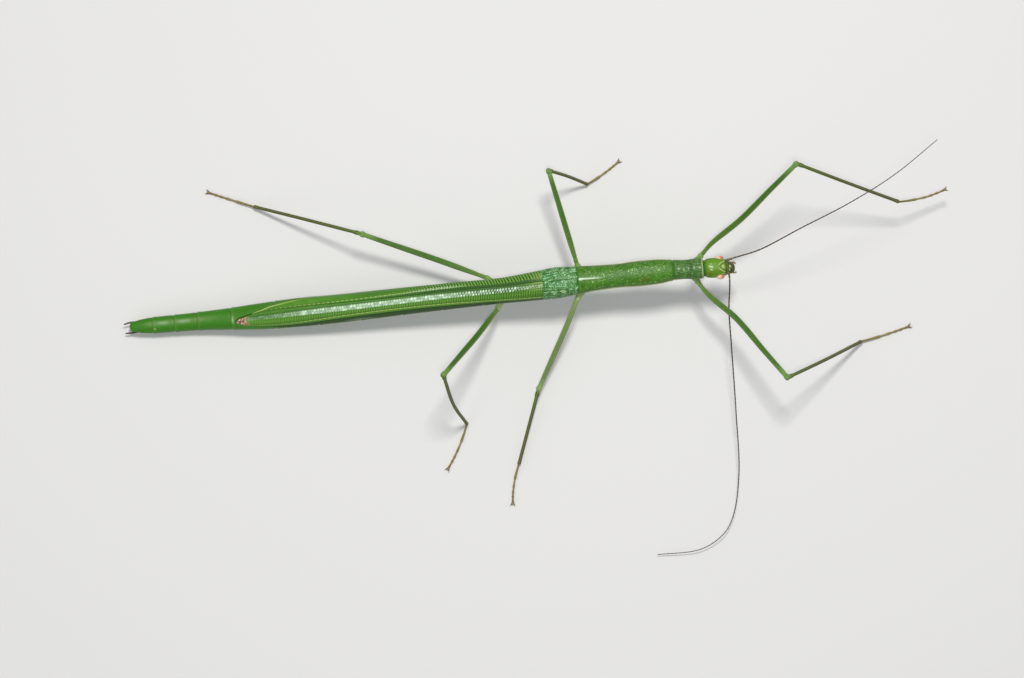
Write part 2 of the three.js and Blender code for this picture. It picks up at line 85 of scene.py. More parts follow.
def through(rows, at):
    """Smooth values at `at` through rows of [x, a, b, ...]: one array for each column after x."""
    rows = np.array(rows, float)
    knots, values = rows[:, 0], rows[:, 1:]
    order = np.arange(len(knots))
    low, high = np.maximum(order - 1, 0), np.minimum(order + 1, len(knots) - 1)
    slopes = (values[high] - values[low]) / (knots[high] - knots[low])[:, None]
    at = np.asarray(at, float)
    k = np.clip(np.searchsorted(knots, at, side="right"), 1, len(knots) - 1)
    span = knots[k] - knots[k - 1]
    t = np.clip((at - knots[k - 1]) / span, 0, 1)
    return [
        (2 * t**3 - 3 * t**2 + 1) * v[k - 1] + (t**3 - 2 * t**2 + t) * span * s[k - 1]
        + (3 * t**2 - 2 * t**3) * v[k] + (t**3 - t**2) * span * s[k]
        for v, s in zip(values.T, slopes.T)
    ]


def bump(distance, width):
    """1 at distance 0, falling softly to 0 past the width."""
    return np.exp(-((distance / width) ** 2))


def rise(x, low, high):
    """0 before low, 1 past high, smooth between."""
    t = np.clip((x - low) / (high - low), 0, 1)
    return t * t * (3 - 2 * t)


def mix(a, b, t):
    return a + (b - a) * t


print("the tail ends at", in_metres((0, 0, 0)).round(4), "m")

# %% [markdown]
# ## Camera, floor and light
# The insect is seen from almost straight above, with its head to the right. A camera is easiest to
# repeat from the point that it aims at, its distance and its two angles. The floor is plain and pale.
# One soft lamp nearly overhead gives the short shadow on the near side, a large weak one lightens that
# shadow, a small one beside the camera picks out the gloss along the back, and a pale sky does the rest.

# %% Camera
AIM = in_metres((55.86, -6.42, 0.0))
DISTANCE = 0.460
CAMERA_AZIMUTH, CAMERA_ELEVATION = -94.94, 81.74
IMAGE_WIDTH = 1024
FOCAL_PIXELS = 3118.6
SENSOR = 36.0


def towards(azimuth, elevation):
    a, e = math.radians(azimuth), math.radians(elevation)
    return Vector((math.cos(e) * math.cos(a), math.cos(e) * math.sin(a), math.sin(e)))


lens = bpy.data.cameras.new("camera")
lens.sensor_width = SENSOR
lens.lens = SENSOR * FOCAL_PIXELS / IMAGE_WIDTH
lens.clip_start, lens.clip_end = 0.01, 10
camera = bpy.data.objects.new("camera", lens)
bpy.context.scene.collection.objects.link(camera)
camera.location = Vector(AIM) + towards(CAMERA_AZIMUTH, CAMERA_ELEVATION) * DISTANCE
camera.rotation_euler = (Vector(AIM) - camera.location).to_track_quat("-Z", "Y").to_euler()
bpy.context.scene.camera = camera
bpy.context.scene.view_settings.view_transform = "Standard"
print("lens", round(lens.lens, 2), "mm at", [round(v, 4) for v in camera.location])


# %% Floor and lamps
def lamp(name, azimuth, elevation, distance, size, power, tint):
    data = bpy.data.lights.new(name, "AREA")
    data.shape, data.size, data.energy, data.color = "DISK", size, power, tint
    light = bpy.data.objects.new(name, data)
    bpy.context.scene.collection.objects.link(light)
    light.location = towards(azimuth, elevation) * distance
    light.rotation_euler = (-light.location).to_track_quat("-Z", "Y").to_euler()


lamp("key lamp", 75, 74, 0.45, 0.09, 1.25, (1.0, 0.98, 0.95))
lamp("fill lamp", -140, 38, 0.70, 0.45, 0.5, (0.93, 0.97, 1.0))
lamp("glint lamp", -95, 80, 0.50, 0.03, 0.35, (1.0, 1.0, 1.0))

sky = bpy.data.worlds.new("pale sky")
sky.use_nodes = True
sky.node_tree.nodes["Background"].inputs["Color"].default_value = (0.92, 0.95, 1.0, 1)
sky.node_tree.nodes["Background"].inputs["Strength"].default_value = 0.34
bpy.context.scene.world = sky

bpy.ops.mesh.primitive_plane_add(size=3.0)
floor = bpy.context.object
floor.name = "floor"
print("lamps:", ", ".join(light.name for light in bpy.data.lights))

# %% [markdown]
# ## Shader maths as plain Python
# A finish is a small sum of masks, noises and colours. Written node by node it is hard to read, so a
# `Wire` stands for one output of a node and takes Python's own operators, and a `Finish` makes nodes.
# Colours are mixed with Mix nodes, because a Math node would turn them grey.


# %% Wires
class Wire:
    """An output socket. Python's operators on wires and numbers add Math nodes."""

    def __init__(self, finish, socket):
        self.finish, self.socket = finish, socket

    def math(self, operation, *values):
        inputs = dict(enumerate(values))
        return self.finish.node("ShaderNodeMath", {"operation": operation}, inputs)

    def __add__(self, other): return self.math("ADD", self, other)
    def __radd__(self, other): return self.math("ADD", other, self)
    def __sub__(self, other): return self.math("SUBTRACT", self, other)
    def __rsub__(self, other): return self.math("SUBTRACT", other, self)
    def __mul__(self, other): return self.math("MULTIPLY", self, other)
    def __rmul__(self, other): return self.math("MULTIPLY", other, self)
    def __truediv__(self, other): return self.math("DIVIDE", self, other)

    def between(self, low, high):
        """0 at low, 1 at high, smooth between; low may be the larger."""
        inputs = {"Value": self, "From Min": low, "From Max": high}
        return self.finish.node("ShaderNodeMapRange", {"interpolation_type": "SMOOTHSTEP"}, inputs)

    def clamp(self):
        return self.finish.node("ShaderNodeClamp", {}, {"Value": self})


# %% [markdown]
# A `Finish` holds one material. Any node comes from its one method `node`, which takes the node's type,
# its settings and its inputs. The other methods are the few mixtures of nodes that the finishes share:
# a painted mask, clouds, specks, a blend of two colours and, last, the plugs of the shader.

# %% Finishes
class Finish:
    """A material named for what it finishes, with the constants of its shader."""

    def __init__(self, name, **constants):
        self.material = bpy.data.materials.new(name)
        self.material.use_nodes = True
        self.tree = self.material.node_tree
        self.shader = self.tree.nodes["Principled BSDF"]
        for socket, value in constants.items():
            self.shader.inputs[socket.replace("_", " ")].default_value = value

    def node(self, kind, settings, inputs, output=0):
        made = self.tree.nodes.new(kind)
        for name, value in settings.items():
            if name == "stops":
                ramp = made.color_ramp
                for _ in value[2:]:
                    ramp.elements.new(0.5)
                for stop, (place, colour) in zip(ramp.elements, value):
                    stop.position, stop.color = place, (*colour, 1)
            else:
                setattr(made, name, value)
        for name, value in inputs.items():
            self.plug(made.inputs[name], value)
        return Wire(self, made.outputs[output])

    def plug(self, socket, value):
        if isinstance(value, Wire):
            self.tree.links.new(value.socket, socket)
        elif isinstance(value, tuple) and len(socket.default_value) == 4:
            socket.default_value = (*value, 1)
        else:
            socket.default_value = value

    def mask(self, name):
        """A number painted on the mesh's points."""
        return self.node("ShaderNodeAttribute", {"attribute_name": name}, {}, "Fac")

    def place(self):
        """Where the surface is, in metres."""
        return self.node("ShaderNodeNewGeometry", {}, {}, "Position")

    def noise(self, size, detail=3.0, stretch=(1, 1, 1)):
        """Cloudy noise from 0 to 1 with blobs of about this size, in millimetres."""
        vector = self.node(
            "ShaderNodeVectorMath", {"operation": "MULTIPLY"},
            {0: self.place(), 1: tuple(1 / (size * MM * s) for s in stretch)},
        )
        inputs = {"Vector": vector, "Scale": 1.0, "Detail": detail, "Roughness": 0.55}
        return self.node("ShaderNodeTexNoise", {}, inputs)

    def specks(self, size):
        """Distance to the nearest of scattered points, in steps of about this size, in millimetres."""
        inputs = {"Vector": self.place(), "Scale": 1 / (size * MM)}
        vector = self.node("ShaderNodeVectorMath", {"operation": "SCALE"}, inputs)
        return self.node("ShaderNodeTexVoronoi", {}, {"Vector": vector, "Scale": 1.0})

    def blend(self, a, b, amount):
        inputs = {"Factor": amount, "A": a, "B": b}
        made = self.tree.nodes.new("ShaderNodeMix")
        made.data_type = "RGBA"
        for name, value in inputs.items():
            socket = next(s for s in made.inputs if s.name == name and s.enabled)
            self.plug(socket, value)
        return Wire(self, next(s for s in made.outputs if s.enabled))

    def cover(self, under, over, amount):
        """Blend with an amount that is first held between 0 and 1."""
        return self.blend(under, over, amount.clamp())

    def wear(self, colour, roughness, height=None, strength=0.5, depth=0.02):
        """Plug in what varies: the colour, the roughness and a height in steps of depth millimetres."""
        self.plug(self.shader.inputs["Base Color"], colour)
        self.plug(self.shader.inputs["Roughness"], roughness)
        if height is not None:
            inputs = {"Height": height, "Strength": strength, "Distance": depth * MM}
            self.plug(self.shader.inputs["Normal"], self.node("ShaderNodeBump", {}, inputs, "Normal"))
        return self.material


floor_finish = Finish("pale floor", Roughness=0.9)
floor_finish.wear((0.74, 0.735, 0.72), 0.9)
floor.data.materials.append(floor_finish.material)

# %% [markdown]
# ## Meshes from grids
# Nearly every part of an insect is a tube or a shell, so each is made as a grid of points with numpy,
# which is quick and gives even faces. The numbers that the finishes need, such as how much vein or
# cream there is, are worked out with the shape and painted on its points.


# %% Grids into meshes
def grid_faces(rows, columns, closed):
    i = np.arange(rows - 1)[:, None]
    j = np.arange(columns if closed else columns - 1)[None, :]
    a, b = i * columns + j, i * columns + (j + 1) % columns
    return np.stack([a, b, b + columns, a + columns], -1).reshape(-1, 4).tolist()


def make_object(name, points, faces, masks):
    mesh = bpy.data.meshes.new(name)
    mesh.from_pydata(in_metres(points).tolist(), [], faces)
    for mask, values in masks.items():
        layer = mesh.attributes.new(mask, "FLOAT", "POINT")
        layer.data.foreach_set("value", np.asarray(values, np.float32).ravel())
    mesh.shade_smooth()
    piece = bpy.data.objects.new(name, mesh)
    bpy.context.scene.collection.objects.link(piece)
    return piece


def closed_tube(name, rings, masks):
    """A closed mesh through rings (rings, sides, 3) that turn anticlockwise seen from the last one."""
    count, sides, _ = rings.shape
    points = np.vstack([rings.reshape(-1, 3), rings[0].mean(0), rings[-1].mean(0)])
    start, end, last = len(points) - 2, len(points) - 1, (count - 1) * sides
    faces = grid_faces(count, sides, True)
    faces += [[start, (j + 1) % sides, j] for j in range(sides)]
    faces += [[end, last + j, last + (j + 1) % sides] for j in range(sides)]
    full = {
        mask: np.append(np.broadcast_to(v, (count, sides)).ravel(), [np.mean(v[0]), np.mean(v[-1])])
        for mask, v in masks.items()
    }
    return make_object(name, points, faces, full)


def dress(piece, slot, *nodes):
    """A finished piece rides with the insect and stands for these solids, which it hides; `slot` is not used.
    """
    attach(piece, "root")
    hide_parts(*nodes)
    print(piece.name, len(piece.data.polygons), "faces")


# %% [markdown]
# ## The trunk's outline
# The trunk is one long body with oval sections. Its widths, heights and axis are the solids' own
# numbers, so the skin lies where they do. Between the prothorax and the head the sections draw in to
# a short neck. Angles go round a section: 0 is the left side, 90 the back, 180 the right side, and
# they start and end at -90 and 270, the middle of the belly.

# %% Sections
# x, width, height, height of the axis, sideways drift
BODY = [
    [0.0, 1.2, 1.0, 1.75, -0.08], [1.5, 1.9, 1.6, 1.65, -0.08], [3.0, 2.28, 1.95, 1.62, -0.08],
    [4.5, 2.42, 2.1, 1.65, -0.08], [7.4, 2.5, 2.25, 1.75, -0.08], [10.4, 2.67, 2.45, 1.95, -0.1],
    [14.8, 3.15, 2.75, 2.3, -0.2], [17.8, 3.65, 3.0, 2.6, -0.28], [25.0, 4.2, 3.45, 3.35, -0.28],
    [31.0, 4.16, 3.55, 4.0, -0.3], [40.0, 3.98, 3.55, 5.05, -0.22], [47.3, 3.83, 3.45, 6.0, -0.2],
    [54.6, 3.72, 3.45, 6.95, -0.2], [57.6, 3.97, 3.6, 7.3, -0.12], [60.5, 4.26, 3.8, 7.65, 0.0],
    [62.8, 4.5, 3.95, 7.95, 0.08], [64.9, 4.2, 3.75, 8.2, 0.13], [66.3, 3.92, 3.55, 8.35, 0.15],
    [69.2, 3.55, 3.25, 8.65, 0.17], [72.0, 3.38, 3.1, 8.95, 0.18], [75.0, 3.62, 3.15, 9.2, 0.18],
    [78.0, 3.42, 3.0, 9.45, 0.2], [79.8, 2.92, 2.75, 9.6, 0.22], [81.2, 2.72, 2.6, 9.7, 0.18],
    [82.6, 2.9, 2.7, 9.8, 0.12], [83.9, 2.88, 2.64, 9.84, 0.08], [84.15, 2.74, 2.5, 9.84, 0.08],
    [84.32, 2.28, 2.1, 9.82, 0.07], [84.45, 2.32, 2.15, 9.83, 0.05], [84.8, 2.7, 2.45, 9.87, 0.03],
    [85.6, 2.86, 2.62, 9.92, 0.0], [86.6, 2.76, 2.6, 9.9, -0.03], [87.3, 2.38, 2.4, 9.8, -0.05],
    [87.9, 1.95, 2.1, 9.62, -0.06],
]
FULLNESS = 2.25  # 2 is an ellipse, more is squarer


def body_surface(x, angle, depth=0.0, ends=1.0):
    """Points on the trunk, sunk inwards by depth; `ends` shrinks whole sections to close its ends."""
    width, height, axis, drift = through(BODY, x)
    c, s = np.cos(np.radians(angle)), np.sin(np.radians(angle))
    power = 2 / FULLNESS
    y = drift + (width / 2 * ends - depth) * np.sign(c) * np.abs(c) ** power
    z = axis + (height / 2 * ends - depth) * np.sign(s) * np.abs(s) ** power
    return np.stack(np.broadcast_arrays(x, y, np.maximum(z, 0)), -1)


print("trunk:", len(BODY), "sections, at most", max(row[1] for row in BODY), "mm wide")

# %% [markdown]
# ## Where the wings lie
# The wings are folded flat along the back. The right hindwing lies on top: its inner margin is the
# dark line a little left of the middle, and its tip is the pointed one. The left hindwing is shorter
# and slips under it. Each margin is a line of angles along the body, which both the skin, which makes
# a shallow bed under the wings, and the wings themselves read.

# %% Wing margins
# x, angle
INNER = [[15.75, 113], [16.2, 101], [17.0, 94], [19.0, 80], [21.0, 75.5], [28.0, 75], [40.0, 79],
         [50.0, 77], [58.0, 82], [61.5, 84]]
OUTER_RIGHT = [[15.75, 115], [16.1, 126], [17.0, 136], [18.0, 142], [20.7, 156], [23.6, 170], [28.0, 176],
               [36.0, 180], [42.0, 188], [61.5, 190]]
OUTER_LEFT = [[18.2, 82], [19.0, 74], [19.8, 68], [20.9, 57], [23.2, 44], [25.4, 30], [26.8, 8],
              [28.6, -8], [61.5, -10]]
RIGHT_TIP, LEFT_TIP = 15.75, 18.2
TEGMEN_REAR, WING_ROOT = 60.7, 65.95
BED_DEPTH = 0.3


def margin(rows, x):
    return through(rows, x)[0]


print("wings and covers lie on", round(WING_ROOT - RIGHT_TIP, 2), "mm of the back")

# %% [markdown]
# ## Relief and markings of the trunk
# Grooves, ridges and folds are worked out as a depth under the plain outline, so they are real shape
# and show in the mesh. Colour alone would be quicker, but it goes flat in light from the side. Each
# groove or ridge also paints its own mask as it is made. `Relief` holds the depth and the masks of
# every point, all zero at first, and one function for each part of the body adds to them.

# %% Relief
class Relief:
    """Depth in mm and the painted masks at each point of the trunk."""

    def __init__(self, x, angle):
        self.top = rise(np.sin(np.radians(angle)), -0.1, 0.35)
        for name in ("depth", "cream", "shade", "olive", "grain", "glint"):
            setattr(self, name, np.zeros(np.broadcast(x, angle).shape))

    def masks(self):
        return {name: getattr(self, name) for name in ("cream", "shade", "olive", "grain", "glint", "top")}


def wing_bed(on, x, angle):
    """Sink the back under the folded wings, and return where."""
    left = np.where(x < LEFT_TIP + 0.4, margin(INNER, x), margin(OUTER_LEFT, x))
    right = margin(OUTER_RIGHT, x)
    bed = rise(angle, left - 5, left - 1) * (1 - rise(angle, right + 1, right + 5))
    bed = bed * rise(x, RIGHT_TIP - 0.15, RIGHT_TIP + 0.1) * (1 - rise(x, WING_ROOT - 0.1, WING_ROOT + 0.1))
    on.depth += BED_DEPTH * bed
    on.shade += 0.9 * bed * (1 - rise(x, 64.8, 65.5))
    return bed


# %% [markdown]
# The abdomen has a ring at each joint between its segments, a soft fold along each flank and a low
# keel under the belly. The skin is pale on two of the rings, a short strip of the right flank beside
# the wings' tip carries a painted highlight, and the last segments have a painted sheen along their top.

# %% Abdomen
SEGMENT_ENDS = (3.4, 6.65, 10.1, 15.1, 21.6, 28.0, 34.1, 40.2, 46.2, 52.2)
FLANK_FOLD = 24  # degrees below the widest line
PALE_RINGS = ((15.3, 104, 16, 0.55), (3.77, 125, 6, 0.5))  # x, angle, spread, strength
TAIL_SHINE = ((3.9, 6.2), (6.9, 9.4))  # from x, to x


def abdomen(on, x, angle, bed):
    for end in SEGMENT_ENDS:
        groove = bump(x - end + 0.1, 0.14)
        on.depth += (0.07 * groove - 0.05 * np.where(x > end, bump(x - end, 0.5), 0)) * (1 - bed)
        on.shade += 0.16 * groove * (1 - bed)
        on.cream += 0.05 * bump(x - end - 0.16, 0.16) * (1 - bed) * on.top
    for where, turn, width, strength in PALE_RINGS:
        on.cream += strength * bump(x - where, 0.14) * bump(angle - turn, width)
    # A painted highlight on a short strip of the right flank beside the wings' tip.
    fold = rise(x, 15.2, 17.4) * (1 - rise(x, 17.4, 20.6))
    on.glint += 0.4 * fold * bump(angle - 184, 1 + 11 * fold)
    # Painted sheen along the top of the last segments.
    for low, high in TAIL_SHINE:
        on.glint += 0.22 * rise(x, low, low + 0.8) * (1 - rise(x, high - 0.9, high)) * bump(angle - 88, 9)
    # A faint painted pale sheen along the top of the tail's end.
    on.cream += 0.10 * bump(angle - 86, 15) * (1 - rise(x, 10, 15)) * rise(x, 1.5, 3.0)


def flanks_and_belly(on, x, angle, bed):
    for fold, above in ((-FLANK_FOLD, 11), (180 + FLANK_FOLD, -11)):
        along = rise(x, 1.5, 4) * (1 - rise(x, 81, 83))
        groove = bump(angle - fold, 4.5) * along
        ridge = bump(angle - fold - above, 5) * along
        on.depth += 0.09 * groove - 0.03 * ridge
        on.shade += 0.45 * groove
        on.cream += 0.25 * ridge * (1 - bed)
    belly = bump(angle - 270, 5) + bump(angle + 90, 5)
    on.depth -= 0.05 * belly * rise(x, 9, 14) * (1 - rise(x, 78, 82))


# %% [markdown]
# The long mesothorax carries a keel with a painted highlight on its rear part, a cream ridge down each
# side and a scatter of small raised grains, partly brightened as painted highlights, thickest along a
# line that crosses its back.

# %% Mesothorax
def mesothorax(on, x, angle):
    chest = rise(x, 65.95, 66.3) * (1 - rise(x, 79.2, 79.7))
    off_keel = angle - mix(94, 101, rise(x, 66, 75))
    on.depth -= (0.06 * (1 - rise(x, 68, 73)) + 0.015) * bump(off_keel, 2.2) * chest
    # Painted highlight along the keel's rear part, and a painted highlight spot where the keel starts.
    on.glint += 1.7 * bump(off_keel, 1.8) * chest * (1 - rise(x, 67.4, 70.2))
    on.glint += 0.8 * bump(x - 66.35, 0.2) * bump(angle - 94, 4)
    for edge, side in ((7, 1), (178, -1)):
        ridge = bump(angle - edge, 4.5) * rise(x, 66.0, 67.5) * (1 - rise(x, 80.6, 81.6))
        on.depth += 0.05 * bump(angle - edge - side * 13, 4) * chest - 0.10 * ridge
        on.cream += 1.1 * bump(angle - edge, 6.0) * rise(x, 66.4, 68.0) * (1 - rise(x, 80.2, 81.6))
        on.shade += 0.35 * bump(angle - edge - side * 15, 6) * chest
    on.shade += 0.4 * bump(angle - 27, 12) * rise(x, 66.5, 69) * (1 - rise(x, 74.5, 76))
    crest = bump(angle - mix(99, 82, rise(x, 67, 77)), 13) * rise(x, 66.5, 69) * (1 - rise(x, 77, 79))
    on.grain += chest * on.top * (0.34 + 0.66 * crest)
    # A faint painted highlight along the crest.
    on.glint += 0.05 * crest
    on.olive += 0.8 * bump(x - 75.6, 0.7) * bump(angle - 130, 14)


# %% [markdown]
# The short prothorax is finely wrinkled, with painted shade in the troughs and a painted highlight on
# the crests, a groove across it and a few spots of painted highlight, and ends in a thin cream collar.
# Sines of unlike lengths, multiplied, give wrinkles that don't seem to repeat.

# %% Prothorax
# x, angle, size
BRIGHT_SPOTS = ((80.6, 92, 0.11), (83.62, 92, 0.12), (81.3, 96, 0.07), (82.8, 91, 0.08), (82.0, 94, 0.06))


def prothorax(on, x, angle):
    joint = bump(x - 79.85, 0.11)
    on.depth += 0.08 * joint - 0.03 * bump(x - 79.5, 0.2)
    on.shade += 0.28 * joint
    groove = bump(x - 82.25 - 0.1 * np.cos(np.radians(2 * (angle - 90))), 0.17) * on.top
    on.depth += 0.09 * groove
    on.shade += 0.7 * groove * (0.45 + 0.55 * bump(angle - 75, 35))
    first = rise(x, 79.9, 80.2) * (1 - rise(x, 83.9, 84.1))
    across = np.radians(angle)
    coarse = np.sin(across * 26 + 0.9 * np.sin(x * 4.3)) * np.sin(x * 3.7 + across * 5)
    delicate = np.sin(across * 41 + 1.1 * np.sin(x * 7.1 + 2)) * np.sin(x * 5.9 + across * 9)
    wrinkle = (coarse + 0.7 * delicate) * first * on.top
    on.depth -= 0.016 * wrinkle
    # The troughs of the wrinkles get painted shade and their crests a painted highlight.
    on.shade += (0.25 * np.maximum(-wrinkle, 0) + 0.10) * first
    on.cream += 0.16 * np.maximum(wrinkle, 0)
    # A few spots of painted highlight on the back.
    for spot, where, size in BRIGHT_SPOTS:
        on.glint += 0.9 * bump(x - spot, size) * bump(angle - where, 3.5)
    on.grain += 0.3 * first * on.top
    on.depth -= 0.05 * bump(x - 84.0, 0.14)
    on.cream += 0.7 * bump(x - 84.02, 0.075) * rise(np.sin(np.radians(angle)), -0.7, 0.0)
    on.shade += 0.35 * bump(x - 84.34, 0.12)


# %% [markdown]
# The head has a fine line down its middle that forks between the feelers, with a pale rim along the
# fork, three streaks of painted highlight behind, an olive face, and a raised rim round each eye.

# %% Head
EYE = {"x": 86.6, "out": 1.2, "z": 10.02, "radii": (0.68, 0.55, 0.6)}
HEAD_HIGHLIGHTS = ((84.75, 85.7, 88), (84.95, 85.6, 103), (85.05, 85.5, 74))  # from x, to x, angle


def head(on, x, angle):
    skull = rise(x, 84.45, 84.8)
    fork = np.abs(angle - 91)
    groove = bump(fork - 36 * (x - 86.45), 5) * rise(x, 86.45, 86.6) * (1 - rise(x, 87.35, 87.6))
    on.depth += 0.06 * groove
    on.shade += 0.75 * groove
    on.cream += 0.8 * bump(fork - 36 * (x - 86.3) - 4, 3.5) * rise(x, 86.3, 86.5) * (1 - rise(x, 87.2, 87.4))
    on.cream += 0.75 * bump(x - 87.0, 0.2) * bump(angle - 93, 9)
    on.depth += 0.03 * bump(angle - 91, 2.5) * skull * (1 - rise(x, 86.2, 86.5))
    # Three streaks of painted highlight behind the eyes, each sunk a little.
    for low, high, where in HEAD_HIGHLIGHTS:
        streak = rise(x, low, low + 0.3) * (1 - rise(x, high - 0.3, high))
        streak = streak * bump(angle - where - 9 * (x - 85), 3.5)
        on.glint += 0.8 * streak
        on.depth -= 0.03 * streak
    for where in (28, 145):
        on.olive += 0.75 * bump(x - 84.95, 0.4) * bump(angle - where, 20)
    on.olive += 0.35 * skull * (1 - rise(x, 87, 87.4)) * bump(angle - 125, 18)
    on.olive += 0.9 * rise(x, 87.3, 87.5)
    on.shade += 0.55 * bump(x - 87.45, 0.1) * on.top + 0.6 * bump(x - 87.3, 0.14) * bump(angle - 138, 18)


def eye_rims(on, rings):
    """Paint and raise a rim round each eye; returns the moved rings."""
    drift = through(BODY, np.array([EYE["x"]]))[3][0]
    for sign in (1, -1):
        centre = np.array([EYE["x"], drift + sign * EYE["out"], EYE["z"]])
        away = np.sqrt((((rings - centre) / np.array(EYE["radii"])) ** 2).sum(-1))
        outwards = (rings - centre) / np.maximum(np.linalg.norm(rings - centre, axis=-1, keepdims=True), 1e-6)
        rings = rings + (0.05 * bump(away - 1.12, 0.13))[..., None] * outwards
        on.shade += 0.5 * bump(away - 1.0, 0.06)
        on.cream += 0.35 * bump(away - 1.22, 0.1)
    return rings


# %% [markdown]
# The trunk's points are a grid: rings along it, closer together where the relief is finer, and evenly
# spaced angles round it. Its two ends close in a quarter circle.

# %% Trunk and head
TRUNK_SIDES = 120
TAIL_ROUND, FACE_ROUND = 0.35, 0.42


def trunk_mesh():
    x = np.concatenate([
        np.array([0.003, 0.02, 0.06]), np.arange(0.12, 65.5, 0.13), np.arange(65.5, 79.0, 0.1),
        np.arange(79.0, 87.8, 0.065), np.array([87.8, 87.85, 87.88, 87.897]),
    ])[:, None]
    angle = -90 + 360 * np.arange(TRUNK_SIDES)[None, :] / TRUNK_SIDES
    tail = np.clip(1 - x / TAIL_ROUND, 0, 1)
    face = np.clip(1 - (87.9 - x) / FACE_ROUND, 0, 1)
    ends = np.sqrt(np.maximum(1 - tail**2, 0)) * np.sqrt(np.maximum(1 - face**2, 0))
    on = Relief(x, angle)
    bed = wing_bed(on, x, angle)
    abdomen(on, x, angle, bed)
    flanks_and_belly(on, x, angle, bed)
    mesothorax(on, x, angle)
    prothorax(on, x, angle)
    head(on, x, angle)
    print("relief from", on.depth.min().round(3), "to", on.depth.max().round(3), "mm deep")
    rings = eye_rims(on, body_surface(x, angle, on.depth * ends, ends))
    run = np.broadcast_to(x, on.depth.shape) / 100
    return closed_tube("skin", rings, {**on.masks(), "run": run})


skin = trunk_mesh()
print("trunk", len(skin.data.polygons), "faces")

# %% [markdown]
# ## Legs
# Each leg is a chain: a cone at the body (the coxa), the thigh, the shin and a foot of five short
# joints. The two legs of a pair share their sizes and each leg has its own angles, which are the
# solids' own numbers. A leg could be one tube bent at its joints, but a tube pinches at a sharp bend,
# and a real knee is a knob with the shin hinged inside it. So each length is a tube of its own that
# starts inside the one before.

# %% Leg sizes and poses
LEG_PAIRS = {
    "fore": {"hip": (83.8, 1.93, 8.0), "root": (82.9, 0.7, 9.0),
             "femur": 20.15, "tibia": 19.35, "tarsus": 7.3, "thigh": 0.43, "knee": 0.45},
    "middle": {"hip": (66.0, 2.48, 6.5), "root": (67.0, 0.9, 7.5),
               "femur": 14.5, "tibia": 11.35, "tarsus": 5.7, "thigh": 0.42, "knee": 0.43},
    "hind": {"hip": (53.5, 2.37, 4.6), "root": (54.6, 0.9, 6.0),
             "femur": 19.4, "tibia": 18.5, "tarsus": 7.0, "thigh": 0.43, "knee": 0.46},
}
# hip shifted ahead and aside, thigh angle, knee height, thigh bow near the hip and past its first
# third, shin angle, shin bow, ankle height, foot angle, foot turn, height of the foot's tip
LEG_POSES = {
    "fore_left": ((0.4, 0.27), 36.5, 17.9, (0.2, -0.22), -17.6, -0.05, 7.4, 12.5, 14, 5.2),
    "fore_right": ((-0.4, -0.28), -55.2, 13.9, (0.15, -0.45), 25.6, 0.1, 0.62, 13.0, 6, 0.24),
    "middle_left": ((0.2, 0), 102.6, 10.35, (0, 0), -6.2, 0.15, 0.62, 31.7, 10, 0.24),
    "middle_right": ((-0.2, 0), -119.0, 2.2, (-0.05, -0.1), -109.8, 0, 0.62, -104.1, 20, 0.24),
    "hind_left": ((-0.6, 0.08), 156.8, 7.4, (-0.05, -0.1), 157.0, 0.2, 0.62, 157.0, 0, 0.24),
    "hind_right": ((0.6, -0.07), -128.3, 18.2, (-0.05, -0.15), -62.6, 0.75, 0.62, -117.5, -15, 0.24),
}
FLOOR_TOUCH = 0.17  # height of a foot's middle line where it rests
COXA_RADIUS, HIP_RADIUS = 0.72, 0.40
UP = np.array([0.0, 0.0, 1.0])


# %% [markdown]
# From the lengths and angles follow the places of the hip, the knee and the ankle. Each joint's height
# is given too, so a thigh or a shin reaches out sideways with what its slope leaves of its length.

# %% Where the joints are
def unit(v):
    return v / np.linalg.norm(v)


def reach(start, length, degrees, height):
    """The end of a rod from `start` that points this way and ends at this height."""
    climb = height - start[2]
    run = math.sqrt(length**2 - climb**2)
    return np.array([start[0] + run * math.cos(math.radians(degrees)),
                     start[1] + run * math.sin(math.radians(degrees)), height])


def leg_joints(name):
    pair, side = name.split("_")
    size, sign = LEG_PAIRS[pair], 1 if side == "left" else -1
    (ahead, aside), angle, knee_height, bow, shin, shin_bow, ankle_height, foot, turn, tip = LEG_POSES[name]

    def place(x, out, z, share):
        x = x + share * ahead
        return np.array([x, through(BODY, np.array([x]))[3][0] + sign * (out + share * aside), z])

    hip, root = place(*size["hip"], 1), place(*size["root"], 0.5)
    knee = reach(hip, size["femur"], angle, knee_height)
    ankle = reach(knee, size["tibia"], shin, ankle_height)
    return {"size": size, "root": root, "hip": hip, "knee": knee, "ankle": ankle, "bow": bow,
            "shin_bow": shin_bow, "foot": foot, "turn": turn, "tip": tip}


# %% [markdown]
# A tube needs a path with even steps, a radius at each step and the shape of its section. A bevelled
# curve could be used for this, but here each ring also has to know its angles, so that the ridges of
# thigh and shin are real shape and can be painted.

# %% Tubes along a path
def smooth_path(points, count):
    """`count` points at even steps along a smooth curve through a few points, which meets its ends."""
    points = np.array(points, float)
    knots = np.concatenate([[0], np.cumsum(np.linalg.norm(np.diff(points, axis=0), axis=1))])
    fine = np.linspace(0, knots[-1], 12 * count)
    curve = np.stack(through(np.column_stack([knots, points]), fine), -1)
    run = np.concatenate([[0], np.cumsum(np.linalg.norm(np.diff(curve, axis=0), axis=1))])
    even = np.linspace(0, run[-1], count)
    return np.stack([np.interp(even, run, curve[:, k]) for k in range(3)], -1)


